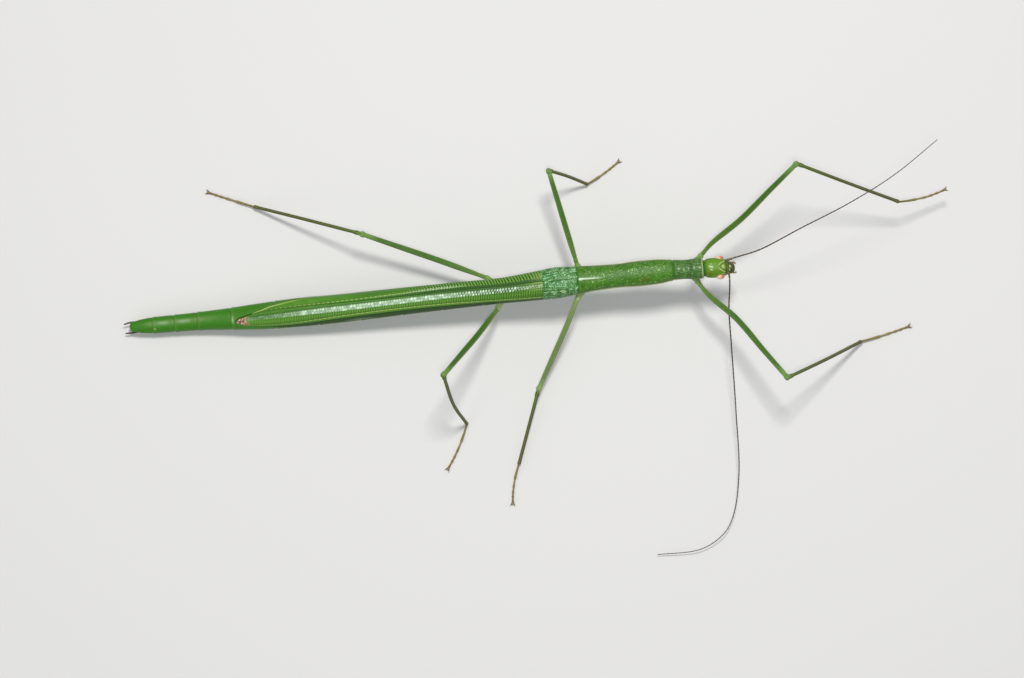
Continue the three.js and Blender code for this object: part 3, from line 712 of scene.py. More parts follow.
def tube_rings(path, radius, section, sides):
    """Rings of a tube along a path. Angle 0 of its section is its upper side."""
    tangent = np.gradient(path, axis=0)
    tangent /= np.linalg.norm(tangent, axis=1, keepdims=True)
    across = np.cross(tangent, UP)
    across /= np.linalg.norm(across, axis=1, keepdims=True)
    up = np.cross(across, tangent)
    angle = 2 * np.pi * np.arange(sides) / sides
    out = np.asarray(radius)[:, None] * section(np.degrees(angle))[None, :]
    rings = path[:, None] + out[..., None] * (
        np.cos(angle)[None, :, None] * up[:, None] + np.sin(angle)[None, :, None] * across[:, None])
    rings[..., 2] = np.maximum(rings[..., 2], 0.004)
    return rings, np.broadcast_to(np.cos(angle), out.shape)


def apart(angle, where):
    return np.abs((angle - where + 180) % 360 - 180)


def thigh_section(angle):
    """Nearly square, with a fine ridge along each corner."""
    return 0.97 + sum(0.11 * bump(apart(angle, corner), 13) for corner in (45, 135, 225, 315))


def shin_section(angle):
    return 0.97 + sum(0.10 * bump(apart(angle, corner), 15) for corner in (0, 72, 144, 216, 288))


def plain_section(angle):
    return np.ones_like(angle)


def ends_closed(t, length, start, end):
    """1 along a tube, falling in a quarter circle over `start` and `end` mm at its two ends."""
    s = np.clip(1 - t * length / start, 0, 1)
    e = np.clip(1 - (1 - t) * length / end, 0, 1)
    return np.sqrt(np.maximum(1 - s**2, 0.0004)) * np.sqrt(np.maximum(1 - e**2, 0.0004))


# %% [markdown]
# Each part of a leg also paints where it is: `run` goes from 0 at the body to 1 at the hip, 2 at the
# knee, 3 at the ankle and 4 at the foot's tip, so that one finish can turn from green to olive to
# straw along the leg. `ridge` marks the pale ridges, and `upper` tells the upper side from the under
# side, which the finish paints with shade.

# %% Coxa, thigh and shin
PALE_PARTS = {
    "coxa_hind_right": 0.45, "coxa_middle_right": 0.3, "coxa_fore_right": 0.12, "thigh_middle_right": 0.15,
}


def leg_part(name, path, radius, section, sides, run):
    rings, upper = tube_rings(path, radius, section, sides)
    swell = section(360 * np.arange(sides) / sides) - 1.0
    ridge = np.broadcast_to(np.clip(swell / 0.08, 0, 1), upper.shape)
    masks = {"run": np.broadcast_to(run[:, None], upper.shape), "ridge": ridge, "upper": upper,
             "cream": np.full(upper.shape, PALE_PARTS.get(name, 0.0))}
    return closed_tube(name, rings, masks)


def coxa(name, leg):
    axis = unit(leg["hip"] - leg["root"])
    path = smooth_path([leg["root"], leg["hip"] + axis * HIP_RADIUS * 0.9], 34)
    t = np.linspace(0, 1, 34)
    length = np.linalg.norm(path[-1] - path[0])
    radius = mix(COXA_RADIUS, HIP_RADIUS + 0.03, rise(t, 0, 0.7)) - 0.05 * bump(t - 0.62, 0.07)
    return leg_part(name, path, radius * ends_closed(t, length, 0.2, HIP_RADIUS), plain_section, 36, t)


def thigh(name, leg):
    size, hip, knee = leg["size"], leg["hip"], leg["knee"]
    forward = unit(knee - hip)
    back = unit(np.cross(UP, forward)) * math.copysign(1, forward[1])
    last = knee + forward * size["knee"] * 0.85
    at = lambda t, bow: mix(hip, last, t) + back * bow
    near, past = leg["bow"]
    count = 190
    path = smooth_path([hip, at(0.13, near), at(0.4, past), at(0.72, past * 0.4), last], count)
    t = np.linspace(0, 1, count)
    length = size["femur"] + size["knee"] * 0.85
    mm = t * length
    shaft = mix(0.30, size["thigh"], rise(t, 0.0, 0.28)) - 0.07 * rise(t, 0.5, 0.93)
    shaft = shaft + 0.02 * bump(mm - 0.62, 0.3) - 0.02 * bump(mm - 1.1, 0.16)
    knob = rise(length - mm, 2.1 * size["knee"], 1.35 * size["knee"])
    radius = mix(shaft, size["knee"], knob) - 0.03 * bump(length - mm - 2.2 * size["knee"], 0.15)
    radius = radius * ends_closed(t, length, 0.25, size["knee"])
    return leg_part(name, path, radius, thigh_section, 40, 1 + t)


def shin(name, leg):
    knee, ankle, hip = leg["knee"], leg["ankle"], leg["hip"]
    forward, back = unit(ankle - knee), unit(hip - knee)
    outwards = unit(forward * back.dot(forward) - back)
    middle = mix(knee, ankle, 0.5) + outwards * leg["shin_bow"]
    count = 170
    path = smooth_path([knee, middle, ankle + forward * 0.1], count)
    t = np.linspace(0, 1, count)
    length = leg["size"]["tibia"] + 0.1
    mm = t * length
    radius = 0.235 + 0.075 * bump(mm - 0.75, 0.45) - 0.02 * bump(mm - 1.5, 0.35)
    radius = radius + 0.045 * rise(t, 0.94, 0.99) + 0.012 * rise(0.5 - t, 0, 0.5)
    return leg_part(name, path, radius * ends_closed(t, length, 0.3, 0.22), shin_section, 40, 2 + t)


# %% [markdown]
# The foot is five short joints, each flaring towards its far end. From the ankle they come down within
# the first few steps and then run level.

# %% Feet
TARSOMERES = [0.0, 0.40, 0.62, 0.76, 0.87, 1.0]  # where the foot's five joints begin and end


def foot_path(leg, count):
    pieces, points = 6, [leg["ankle"]]
    low = leg["tip"] if leg["tip"] > 1 else FLOOR_TOUCH
    for i in range(1, pieces + 1):
        degrees = math.radians(leg["foot"] + leg["turn"] * ((i - 0.5) / pieces - 0.5))
        step = np.array([math.cos(degrees), math.sin(degrees), 0]) * leg["size"]["tarsus"] / pieces
        point = points[-1] + step
        point[2] = mix(leg["ankle"][2], low, min(1, 1.6 * i / pieces))
        points.append(point)
    return smooth_path(points, count)


def foot(name, leg):
    count = 150
    path = foot_path(leg, count)
    t = np.linspace(0, 1, count)
    k = np.clip(np.searchsorted(TARSOMERES, t, side="right") - 1, 0, 4)
    ends = np.array(TARSOMERES)
    along = (t - ends[k]) / (ends[k + 1] - ends[k])
    flare = np.array([0.045, 0.055, 0.06, 0.06, 0.05])[k]
    radius = 0.125 + flare * rise(along, 0.25, 0.95) - 0.03 * rise(along, 0.96, 1.0) + 0.02 * (k == 0)
    length = leg["size"]["tarsus"]
    section = lambda a: 1.0 + 0.12 * bump(apart(a, 180), 45)
    return leg_part(name, path, radius * ends_closed(t, length, 0.2, 0.12), section, 24, 3 + t)


legs = {name: leg_joints(name) for name in LEG_POSES}
leg_parts = []
for name, leg in legs.items():
    for make in (coxa, thigh, shin, foot):
        leg_parts.append(make(f"{make.__name__}_{name}", leg))
print(len(leg_parts), "leg parts")

# %% [markdown]
# ## One skin
# Trunk and legs are separate closed tubes that run into each other. Joined as they are, the inner ends
# would stay inside the body and each joint would show a hard line. A Boolean union makes one watertight
# surface instead. New points along each joint have no painted numbers, so they take the mean of their
# neighbours, and a few rounds of averaging turn the hard line into the small fold that real skin has.

# %% Means of neighbours
def neighbour_mean(values, edges, weight):
    total = np.zeros_like(values)
    share = np.zeros(len(values))
    for a, b in ((edges[:, 0], edges[:, 1]), (edges[:, 1], edges[:, 0])):
        np.add.at(share, a, weight[b])
        np.add.at(total, a, values[b] * (weight[b] if values.ndim == 1 else weight[b][:, None]))
    share = np.maximum(share, 1e-9)
    return total / (share if values.ndim == 1 else share[:, None])


def read_points(mesh, name, width):
    values = np.zeros(len(mesh.vertices) * width, np.float32)
    mesh.attributes[name].data.foreach_get("value" if width == 1 else "vector", values)
    return values if width == 1 else values.reshape(-1, width)


# %% [markdown]
# Which points a union keeps can't be read from their order, so each part first gets a layer that is 1
# on its own points. After the union it is below 1 on the new ones, and those are filled and smoothed.

# %% Union and smoothing
def weld(base, parts, masks, rounds=7):
    for part in [base, *parts]:
        for mask in masks:
            if mask not in part.data.attributes:
                part.data.attributes.new(mask, "FLOAT", "POINT")
        made = part.data.attributes.new("made", "FLOAT", "POINT")
        made.data.foreach_set("value", np.ones(len(part.data.vertices), np.float32))
    group = bpy.data.collections.new("parts to weld")
    for part in parts:
        group.objects.link(part)
    union = base.modifiers.new("union", "BOOLEAN")
    union.operation, union.operand_type, union.solver = "UNION", "COLLECTION", "MANIFOLD"
    union.collection = group
    graph = bpy.context.evaluated_depsgraph_get()
    united = base.evaluated_get(graph)
    mesh = bpy.data.meshes.new_from_object(united, preserve_all_data_layers=True, depsgraph=graph)
    base.modifiers.clear()
    base.data = mesh
    for part in parts:
        bpy.data.objects.remove(part)
    bpy.data.collections.remove(group)

    edges = np.zeros(len(mesh.edges) * 2, np.int32)
    mesh.edges.foreach_get("vertices", edges)
    edges = edges.reshape(-1, 2)
    known = (read_points(mesh, "made", 1) > 0.99).astype(float)
    values = {mask: read_points(mesh, mask, 1) for mask in masks}
    seam = known < 0.5
    print("welded:", len(mesh.vertices), "points,", int(seam.sum()), "on the joints")
    for mask, v in values.items():
        filled = neighbour_mean(v, edges, known)
        values[mask] = np.where(seam, filled, v)
    near = seam.astype(float)
    for _ in range(3):
        near = np.maximum(near, 0.75 * neighbour_mean(near, edges, np.ones(len(near))) * 2)
        near = np.clip(near, 0, 1)
    points = read_points(mesh, "position", 3).astype(float)
    ones = np.ones(len(points))
    for _ in range(rounds):
        points += 0.5 * near[:, None] * (neighbour_mean(points, edges, ones) - points)
    mesh.attributes["position"].data.foreach_set("vector", points.astype(np.float32).ravel())
    for mask, v in values.items():
        mesh.attributes[mask].data.foreach_set("value", v.astype(np.float32))
    mesh.attributes.remove(mesh.attributes["made"])
    mesh.materials.clear()
    mesh.shade_smooth()
    return mesh


for part in leg_parts:
    count = len(part.data.vertices)
    part.data.attributes.new("limb", "FLOAT", "POINT").data.foreach_set("value", np.ones(count, np.float32))
MASKS = ["run", "cream", "glint", "shade", "olive", "grain", "top", "limb", "ridge", "upper"]
weld(skin, leg_parts, MASKS)

# %% [markdown]
# ## The skin's finish
# The cuticle is satin, not wet: a leaf green with faint clouds in it, with painted shade in every
# groove, cream on the collar and the ridges, painted highlights along the keel and on the head, the
# prothorax, the tail and one flank, and scattered with raised pale grains on the back of the mesothorax,
# partly brightened as painted highlights. Down each leg the green turns olive at the knee and straw at
# the foot, and the under side gets painted shade. The masks painted on the points say where, and noise
# keeps any of it from looking printed.


# %% Skin finish
def paint(red, green, blue):
    """A colour given as screen values from 0 to 255."""
    screen = [v / 255 for v in (red, green, blue)]
    return tuple(((v + 0.055) / 1.055) ** 2.4 if v > 0.04 else v / 12.92 for v in screen)


def skin_finish():
    f = Finish("leaf green cuticle", Specular_IOR_Level=0.33)
    run, limb, grain, top = f.mask("run"), f.mask("limb"), f.mask("grain"), f.mask("top")
    clouds, fine = f.noise(1.4), f.noise(0.22, 4, (2.2, 1, 1))
    body = f.cover(paint(34, 90, 2), paint(82, 140, 16), clouds * 0.7 + fine * 0.5 - 0.1)
    body = f.blend(body, paint(50, 126, 2), run.between(0.26, 0.17) * 0.7)
    body = f.blend(body, paint(40, 104, 22), run.between(0.795, 0.802) * run.between(0.845, 0.84) * 0.7)
    body = f.blend(body, paint(104, 152, 22), run.between(0.843, 0.848) * 0.8)
    body = f.blend(body, paint(98, 130, 58), top.between(0.35, 0.0) * 0.6)
    freckles = f.noise(0.5, 2).between(0.5, 0.75) * grain.between(0.0, 0.2)
    body = f.cover(body, paint(28, 72, 10), freckles * 0.5)
    # The grains' pale dots are partly their own colour and partly painted highlights; `sparkle` adds tiny
    # painted glints.
    small = f.specks(0.3).between(0.26, 0.12) * f.noise(0.45).between(0.40, 0.60)
    large = f.specks(0.8).between(0.12, 0.06)
    sparkle = f.noise(0.17, 2).between(0.55, 0.66) * f.noise(0.6).between(0.40, 0.56)
    dots = ((small * 0.8 + large * 0.7 + sparkle * 1.5) * grain).clamp()
    body = f.blend(body, paint(192, 234, 146), dots)
    leg = f.node("ShaderNodeValToRGB", {"stops": [
        (0.0, paint(96, 148, 46)), (0.2, paint(134, 172, 84)), (0.285, paint(84, 124, 38)),
        (0.36, paint(60, 106, 16)), (0.46, paint(62, 106, 20)), (0.49, paint(112, 156, 70)),
        (0.515, paint(84, 102, 32)), (0.6, paint(82, 80, 42)), (0.74, paint(92, 82, 52)),
        (0.76, paint(128, 114, 64)), (0.86, paint(150, 136, 84)), (0.99, paint(140, 116, 66)),
    ]}, {"Fac": run / 4}, "Color")
    ridge, upper = f.mask("ridge"), f.mask("upper")
    streaks = f.noise(0.3).between(0.42, 0.62)
    # Painted shade on the under side of each leg, with some dark streaks.
    underside_shade = upper.between(0.6, -0.9) * 0.65 * (1 - ridge)
    leg = f.cover(leg, paint(34, 62, 10), underside_shade + streaks * 0.25)
    leg = f.blend(leg, paint(150, 178, 92), ridge * (0.5 * fine + 0.1))
    colour = f.blend(body, leg, limb.between(0.4, 0.6))
    olive, shade, cream = f.mask("olive"), f.mask("shade"), f.mask("cream")
    colour = f.cover(colour, paint(92, 92, 16), olive * (0.55 + 0.5 * fine))
    colour = f.cover(colour, paint(14, 42, 8), shade * 0.75)
    colour = f.cover(colour, paint(222, 224, 170), cream * (0.65 + 0.5 * fine))
    # The glint mask is painted highlight: on the keel, the head, the prothorax's spots, the tail's top and a
    # strip of the right flank.
    colour = f.cover(colour, paint(222, 242, 214), f.mask("glint") * (0.6 + 0.7 * fine))
    roughness = 0.36 + 0.18 * fine + 0.1 * cream + 0.1 * limb
    pores = f.specks(0.11)
    colour = f.cover(colour, paint(22, 56, 8), pores.between(0.55, 0.9) * 0.35)
    height = (dots * 1.2 + fine * 0.8 + f.noise(0.07, 2) * 0.6 - pores * 0.5) * (1 - 0.6 * limb)
    return f.wear(colour, roughness, height, 0.7, 0.04)


skin.data.materials.append(skin_finish())
FLESH = [n for n in frame["nodes"] if n.startswith(
    ("abdomen", "metathorax", "mesothorax", "prothorax", "head", "coxa", "femur", "tibia", "tarsus"))]
dress(skin, "body_green", *FLESH)

# %% [markdown]
# ## Wings
# A folded wing is a thin stiff shell that follows the back. Its long veins run from root to tip, and
# fine cross veins join them like the rungs of a ladder. Along the middle of the back the membrane
# bulges between them in rows of small beads. Veins and beads catch the light one by one, so they are
# real shape on a fine grid, each a few hundredths of a millimetre high, and a bump map only adds the
# grain of the membrane. The strongest vein is pale and runs the whole length of the wing.

# %% Lines and pitches of the wings
RUNG_PITCH, BEAD_PITCH, SLOT_PITCH = 0.35, 0.42, 0.43
HINDWING_END, RING_STEP = 61.6, 0.058
FLANK_VEINS = ((10, 0.6), (21, 0.25), (34, 0.25))  # degrees past the pale vein, strength
LEFT_VEINS = ((10, 0.9), (20, 0.5), (31, 0.8), (44, 0.6), (58, 0.8))
# x, angle: the middle of the band of beads, which carries a painted highlight
WHITE_BAND = [[15.9, 105], [19.35, 103], [28.2, 99], [40.0, 97], [46.6, 95.5], [54.3, 98], [61.5, 99]]
PALE_RIGHT = [[15.9, 118], [19.0, 138], [23.7, 141], [31.0, 130], [40.0, 127], [47.2, 131], [54.5, 144],
              [61.5, 155]]
PALE_LEFT = [[18.2, 80], [22.0, 74], [26.0, 72.5], [31.3, 70.5], [40.0, 66], [44.5, 61], [50.0, 60],
             [61.5, 68]]
print("about", round((HINDWING_END - RIGHT_TIP) / BEAD_PITCH), "beads in each row")


# %% Shells with veins
def wing_rings(x, low, high, columns, depth, thickness):
    """Closed rings of a shell between two margins; depth is given on its outer side."""
    u = np.linspace(0, 1, columns)[None, :]
    angle = low + (high - low) * u
    inner = angle[:, ::-8]
    outer_points = body_surface(x, angle, depth(x, angle))
    inner_points = body_surface(x, inner, depth(x, inner) * 0 + thickness(x, inner))
    return angle, inner, np.concatenate([outer_points, inner_points], 1)


def margins_rounded(angle, low, high, edge=3.0, drop=0.07):
    """How far a shell's outer side bends down over its margins."""
    near = np.minimum(angle - low, high - angle) / edge
    return drop * (1 - np.sqrt(np.clip(1 - (1 - np.clip(near, 0, 1)) ** 2, 0, 1)))


def shell(name, rings, inner, masks):
    """A closed shell; the masks are for its outer side, and its inner side is painted with zeros."""
    zero = np.zeros(inner.shape)
    return closed_tube(name, rings, {k: np.concatenate([v, zero], 1) for k, v in masks.items()})


def within(angle, low, high, soft=1.2):
    """1 between two angles, with soft ends."""
    return rise(angle, low - soft, low + soft) * (1 - rise(angle, high - soft, high + soft))


def cells(x, angle, pitch, slant=0.0, shift=0.0, rung=0.38):
    """A row of cells across the wing: how much of a dome, and how much of a rung, each point is."""
    wander = 0.10 * np.sin(x * 0.83) + 0.07 * np.sin(x * 2.17 + 1.0) + 0.05 * np.sin(x * 5.3 + angle * 0.05)
    wave = 0.5 + 0.5 * np.cos(2 * np.pi * ((x + slant * angle) / pitch + shift + wander))
    on_rung = rise(wave, 1 - 1.6 * rung, 1)
    return 1 - on_rung, on_rung


def bead_row(x, angle, centre, half, shift):
    """A row of unequal round beads along the line `centre`."""
    phase = (x + 0.01 * angle) / BEAD_PITCH + shift + 0.12 * np.sin(x * 0.83) + 0.08 * np.sin(x * 2.17 + 1)
    number = np.floor(phase)
    size = 0.86 + 0.14 * np.sin(number * 2.7 + 3 * np.sin(number * 1.3 + shift * 9))
    tone = 0.72 + 0.28 * np.sin(number * 1.9 + 2 * np.sin(number * 3.1 + shift * 5))
    apart_by = mix(0.52, 0.44, rise(x, 45, 52))
    away = ((phase - number - 0.5) / (apart_by * size)) ** 2 + ((angle - centre) / (half * 0.66 * size)) ** 2
    return np.sqrt(np.clip(1 - away, 0, 1)), tone


# %% [markdown]
# The right hindwing lies on top. A band of two rows of beads runs along its middle, lit by a painted
# highlight, with a dark strip on the inner side and a green ladder on the outer side, which ends at the
# pale vein. Past that vein the wing bends over the flank and gets painted shade, and a short stretch of
# its margin gets a painted highlight. Painted shade also lies along its inner margin. Towards the tip
# the whole pattern grows fainter, and the tip itself is dry and brown. Each mask is one entry, so that
# the shape and the colour share it.

# %% The right hindwing's pattern
def right_wing_pattern(x, angle):
    inner, white, pale = margin(INNER, x), margin(WHITE_BAND, x), margin(PALE_RIGHT, x)
    behind, before = rise(x, 19.5, 29), 1 - rise(x, 55.5, 60)
    half = mix(7, 8.5, behind) * mix(0.55, 1, before)
    upper, upper_tone = bead_row(x, angle, white - half / 2, half, 0)
    lower, lower_tone = bead_row(x, angle, white + half / 2, half, 0.5)
    beads = np.maximum(upper, lower)
    shine = np.maximum(rise(upper, 0.1, 0.7) * upper_tone, rise(lower, 0.1, 0.7) * lower_tone)
    band = within(angle, white - half, white + half, 2.0)
    # Painted highlight over the whole band behind, fading out before the root.
    band_highlight = band * mix(0.42, 0.0, rise(x, 45, 51))
    ladder = cells(x, angle, RUNG_PITCH, 0.004)
    below = within(angle, white + half + 1, pale - 4)
    middle = 0.5 * (white + half + pale - 4)
    teeth = cells(x, angle, RUNG_PITCH, 0, 0.3)[1] * within(angle, white - half - 4.5, white - half) * 0.75
    veins = 0.8 * bump(angle - white - half - 0.5, 1.1) + 0.5 * bump(angle - white + half, 0.8)
    veins = veins + 0.45 * bump(angle - middle, 1.0)
    veins = veins + sum(strong * bump(angle - pale - past, 1.4) for past, strong in FLANK_VEINS)
    veins = veins + 0.4 * bump(angle - mix(inner, white - half, 0.45), 1.0) * (1 - rise(x, 42, 50))
    root = rise(x, 57.5, 60.5) * within(angle, inner + 2, white + 18, 5)
    streaks = root * (0.5 + 0.5 * np.cos(np.radians((angle - white) * 45 + 120 * np.sin(x * 1.7))))
    fold = rise(x, 30, 33.5) * (1 - rise(x, 33.5, 37.5))
    return {
        # white: painted highlight on the beads and the band
        "white": np.maximum(shine, band_highlight) * mix(0.25, 1, behind) * mix(0.55, 1, before),
        "rung": band * (1 - rise(beads, 0.0, 0.45)) * mix(0.75, 1, rise(x, 46, 53))
        + ladder[1] * below * mix(0.4, 0.75, behind) + teeth,
        "dome": beads + ladder[0] * below * 0.6,
        "light": 0.75 * below * (0.5 + 0.5 * bump(angle - middle, 9))
        + 0.55 * within(angle, pale + 1, pale + 8),
        # dark: painted shade along the inner margin and past the pale vein, with the wing's own dark strip
        # and line
        "dark": 0.6 * bump(angle - inner, 1.8)
        + mix(0.05, 0.55, rise(x, 40, 50)) * within(angle, inner, white - half - 0.5) * before
        + 0.8 * bump(angle - pale + 3.2, 1.6) + 1.25 * rise(angle, pale + 8, pale + 14),
        "pale": bump(angle - pale, 1.6) * (0.75 + 0.25 * np.sin(x * 9)) * mix(0.4, 1, behind),
        "vein": veins + 0.6 * streaks,
        "streak": streaks,
        "brown": (1 - rise(x, RIGHT_TIP + 0.9, RIGHT_TIP + 2.2)) + 0 * angle,
        # edge: painted highlight on a short stretch of the outer margin
        "edge": 0.75 * bump(angle - mix(180, 168, rise(x, 30, 37)), 1 + 11 * fold) * fold
        * (0.75 + 0.25 * np.sin(x * 3 + angle)),
    }


# %% [markdown]
# Of the left hindwing only a strip shows beside the right one. In front it has a ladder of slanting
# slots up to its pale vein, with small beads along that vein that carry a painted highlight, and behind
# it is plain, with a soft painted highlight and a pale margin.

# %% The left hindwing's pattern
def left_wing_pattern(x, angle):
    inner, pale = margin(INNER, x), margin(PALE_LEFT, x)
    outer = margin(OUTER_LEFT, x)
    front = rise(x, 33, 42)
    slots = cells(x, angle, SLOT_PITCH, -0.009, 0, 0.36)
    fore = rise(x, 46, 51)
    upper = within(angle, 12, mix(pale - 8, pale + 4, fore), 2.5)
    upper = upper * rise(x, 38, 47) * (1 - 0.6 * rise(x, 60, 61))
    teeth = cells(x, angle, RUNG_PITCH, 0, 0.2)[1] * within(angle, pale + 5, inner) * front
    band = within(angle, pale - 9, pale + 5, 1.5) * (1 - fore)
    small = cells(x, angle, BEAD_PITCH, 0.01)
    veins = sum(strong * bump(angle - pale + back, 1.3) for back, strong in LEFT_VEINS)
    soft = 1 - rise(x, 26, 38)
    # A soft painted highlight on the plain part behind.
    glow = soft * (0.75 * bump(angle - 52, 14) + 0.5 * bump(angle - 22, 9) * rise(x, 22, 26))
    glow = glow * (0.75 + 0.35 * np.sin(x * 1.9 + angle * 0.11) * np.sin(x * 0.7 - angle * 0.2))
    root = rise(x, 58.5, 61) * within(angle, 45, inner - 2, 6)
    streaks = root * (0.5 + 0.5 * np.cos(np.radians((angle - pale) * 40 + 120 * np.sin(x * 1.7))))
    return {
        # white: painted highlight on the small beads along the pale vein
        "white": 0.42 * small[0] * band * rise(x, 40, 46) * mix(1, 0.4, rise(x, 56, 60)),
        "rung": 1.2 * slots[1] * upper + 0.9 * teeth + 0.5 * small[1] * band * front,
        "dome": slots[0] * upper + small[0] * band * front,
        "light": 0.6 * band * front + 1.0 * upper * (1 - 0.9 * slots[1]) + 1.0 * glow,
        "dark": mix(0.2, 0.6, front) * rise(angle, pale + 3, pale + 8)
        + 0.55 * bump(angle - pale + 10.5, 2.0) * front * (1 - fore)
        + 0.35 * within(angle, outer + 4, outer + 14) * front,
        "pale": bump(angle - pale, mix(2.4, 1.4, front)) * (0.3 + 0.25 * np.sin(x * 9) + 0.4 * front)
        * rise(x, 18.6, 21) * (1 - 0.8 * fore)
        + 0.7 * bump(angle - outer - 3, mix(3.6, 2.0, rise(x, 20, 28))) * (1 - rise(x, 28.5, 31)),
        "vein": veins * mix(0.35, 1, front) + 0.6 * streaks,
        "streak": streaks,
        "brown": 0 * x * angle,
        "edge": 0.8 * bump(angle - outer - 3, 3.0) * rise(x, 50, 54),
    }


# %% [markdown]
# Both hindwings are made by one function. Their veins and beads are raised by hundredths of a
# millimetre, their margins bend down, and the left one is tucked in where it slips under the right one.

# %% Hindwings
def hindwing(name, tip, low_rows, high_rows, high_extra, columns, pattern, tuck):
    tip_rings = tip + np.array([0.005, 0.03, 0.07, 0.12])
    x = np.concatenate([tip_rings, np.arange(tip + 0.18, HINDWING_END, RING_STEP)])[:, None]
    low, high = margin(low_rows, x), margin(high_rows, x) + high_extra
    under_cover = lambda x: 0.2 * rise(x, 60.75, 61.1)

    def relief(x, angle):
        lines = pattern(x, angle)
        raised = 0.03 * lines["dome"] + 0.03 * lines["vein"] + 0.06 * lines["pale"] - 0.012 * lines["rung"]
        raised = raised * (1 - 0.7 * np.maximum(1 - (x - tip) / 1.5, 0))
        return 0.035 - raised + margins_rounded(angle, low, high) + tuck(x, angle) + under_cover(x)

    thickness = lambda x, angle: 0.13 + tuck(x, angle) + under_cover(x)
    angle, inner, rings = wing_rings(x, low, high, columns, relief, thickness)
    return shell(name, rings, inner, pattern(x, angle))


# %% [markdown]
# One finish serves both: each mask has a colour and a strength, so a list of them is enough. The
# painted highlight on the beads is uneven, and the dry tip is brown with darker spots.

# %% Wing finish
def wing_finish():
    f = Finish("folded wing", Specular_IOR_Level=0.38)
    clouds, fine = f.noise(1.6), f.noise(0.16, 3, (3, 1, 1))
    colour = f.cover(paint(38, 94, 10), paint(74, 134, 26), clouds * 0.7 + fine * 0.4)
    # dark is partly painted shade and edge is a painted highlight; the other masks are the wing's own
    # colours.
    for mask, shade, amount in (
        ("light", paint(106, 162, 46), 0.8), ("dark", paint(28, 68, 6), 0.8),
        ("vein", paint(132, 174, 78), 0.6), ("rung", paint(14, 48, 6), 0.9),
        ("streak", paint(196, 204, 136), 0.3), ("pale", paint(208, 220, 128), 0.85),
        ("edge", paint(176, 196, 164), 0.8),
    ):
        colour = f.cover(colour, shade, f.mask(mask) * amount * (0.8 + 0.4 * fine))
    # `gleam` makes the painted highlight of the white mask uneven.
    gleam = f.noise(0.5) * 1.7 + (fine - 0.5) * 0.6
    colour = f.cover(colour, paint(216, 244, 212), f.mask("white") * gleam)
    colour = f.cover(colour, paint(214, 172, 146), f.mask("brown") * f.noise(0.3).between(0.3, 0.5))
    colour = f.cover(colour, paint(92, 46, 24), f.mask("brown") * f.noise(0.28).between(0.46, 0.58))
    roughness = 0.28 + 0.18 * fine + 0.2 * f.mask("dark")
    return f.wear(colour, roughness, fine * 0.7 + f.noise(0.06, 2) * 0.5, 0.6, 0.035)


no_tuck = lambda x, angle: 0.0 * angle
under_right = lambda x, angle: 0.15 * rise(angle, margin(INNER, x) - 1.5, margin(INNER, x) + 0.5)
wing_green = wing_finish()
for piece, node in (
    (hindwing("hindwing_right_skin", RIGHT_TIP, INNER, OUTER_RIGHT, 0, 121, right_wing_pattern, no_tuck),
     "hindwing_right"),
    (hindwing("hindwing_left_skin", LEFT_TIP, OUTER_LEFT, INNER, 6, 105, left_wing_pattern, under_right),
     "hindwing_left"),
):
    piece.data.materials.append(wing_green)
    dress(piece, "wing_green", node)

# %% [markdown]
# The forewings of this insect are short leathery covers over the roots of the hindwings, a little
# humped, darker and bluer, with a coarse net of veins. The net is the edges of the cells round
# scattered points, which is how such nets really look; the points come from a seeded draw.

# %% A net of veins
NET_STEP = 0.17


def net(x, angle, seed, step):
    """1 on the edges between the cells of scattered points, 0 inside them, and a tone for each cell."""
    draw = np.random.default_rng(seed)
    across = angle * 0.036
    lo_x, hi_x, lo_a, hi_a = x.min() - 1, x.max() + 1, across.min() - 1, across.max() + 1
    gx, ga = np.meshgrid(np.arange(lo_x, hi_x, step * 1.7), np.arange(lo_a, hi_a, step))
    gx = (gx + draw.uniform(-0.5, 0.5, gx.shape) * step * 1.1).ravel()
    ga = (ga + draw.uniform(-0.5, 0.5, ga.shape) * step * 0.75).ravel()
    flat_x, flat_a = np.broadcast_to(x, across.shape).ravel(), across.ravel()
    first, second = np.full(flat_x.shape, 9.0), np.full(flat_x.shape, 9.0)
    for px, pa in zip(gx, ga):
        away = np.sqrt(((flat_x - px) / 1.6) ** 2 + (flat_a - pa) ** 2)
        second = np.minimum(second, np.maximum(first, away))
        first = np.minimum(first, away)
    edge = bump(second - first, 0.03)
    return edge.reshape(across.shape), rise(first, 0.0, 0.2).reshape(across.shape)


# %% [markdown]
# Over the net lie the long veins, which spread from the root like the ribs of a fan, with dark strips
# between some of them. The rear margin is rounded and lies close to the hindwings.

# %% Forewings
MEETING = 90  # the angle along which the two forewings meet
LONG_VEINS = ((1, 0.9), (14, 1), (27, 0.7), (39, 1), (52, 0.8), (66, 1), (82, 0.7))  # spread, strength


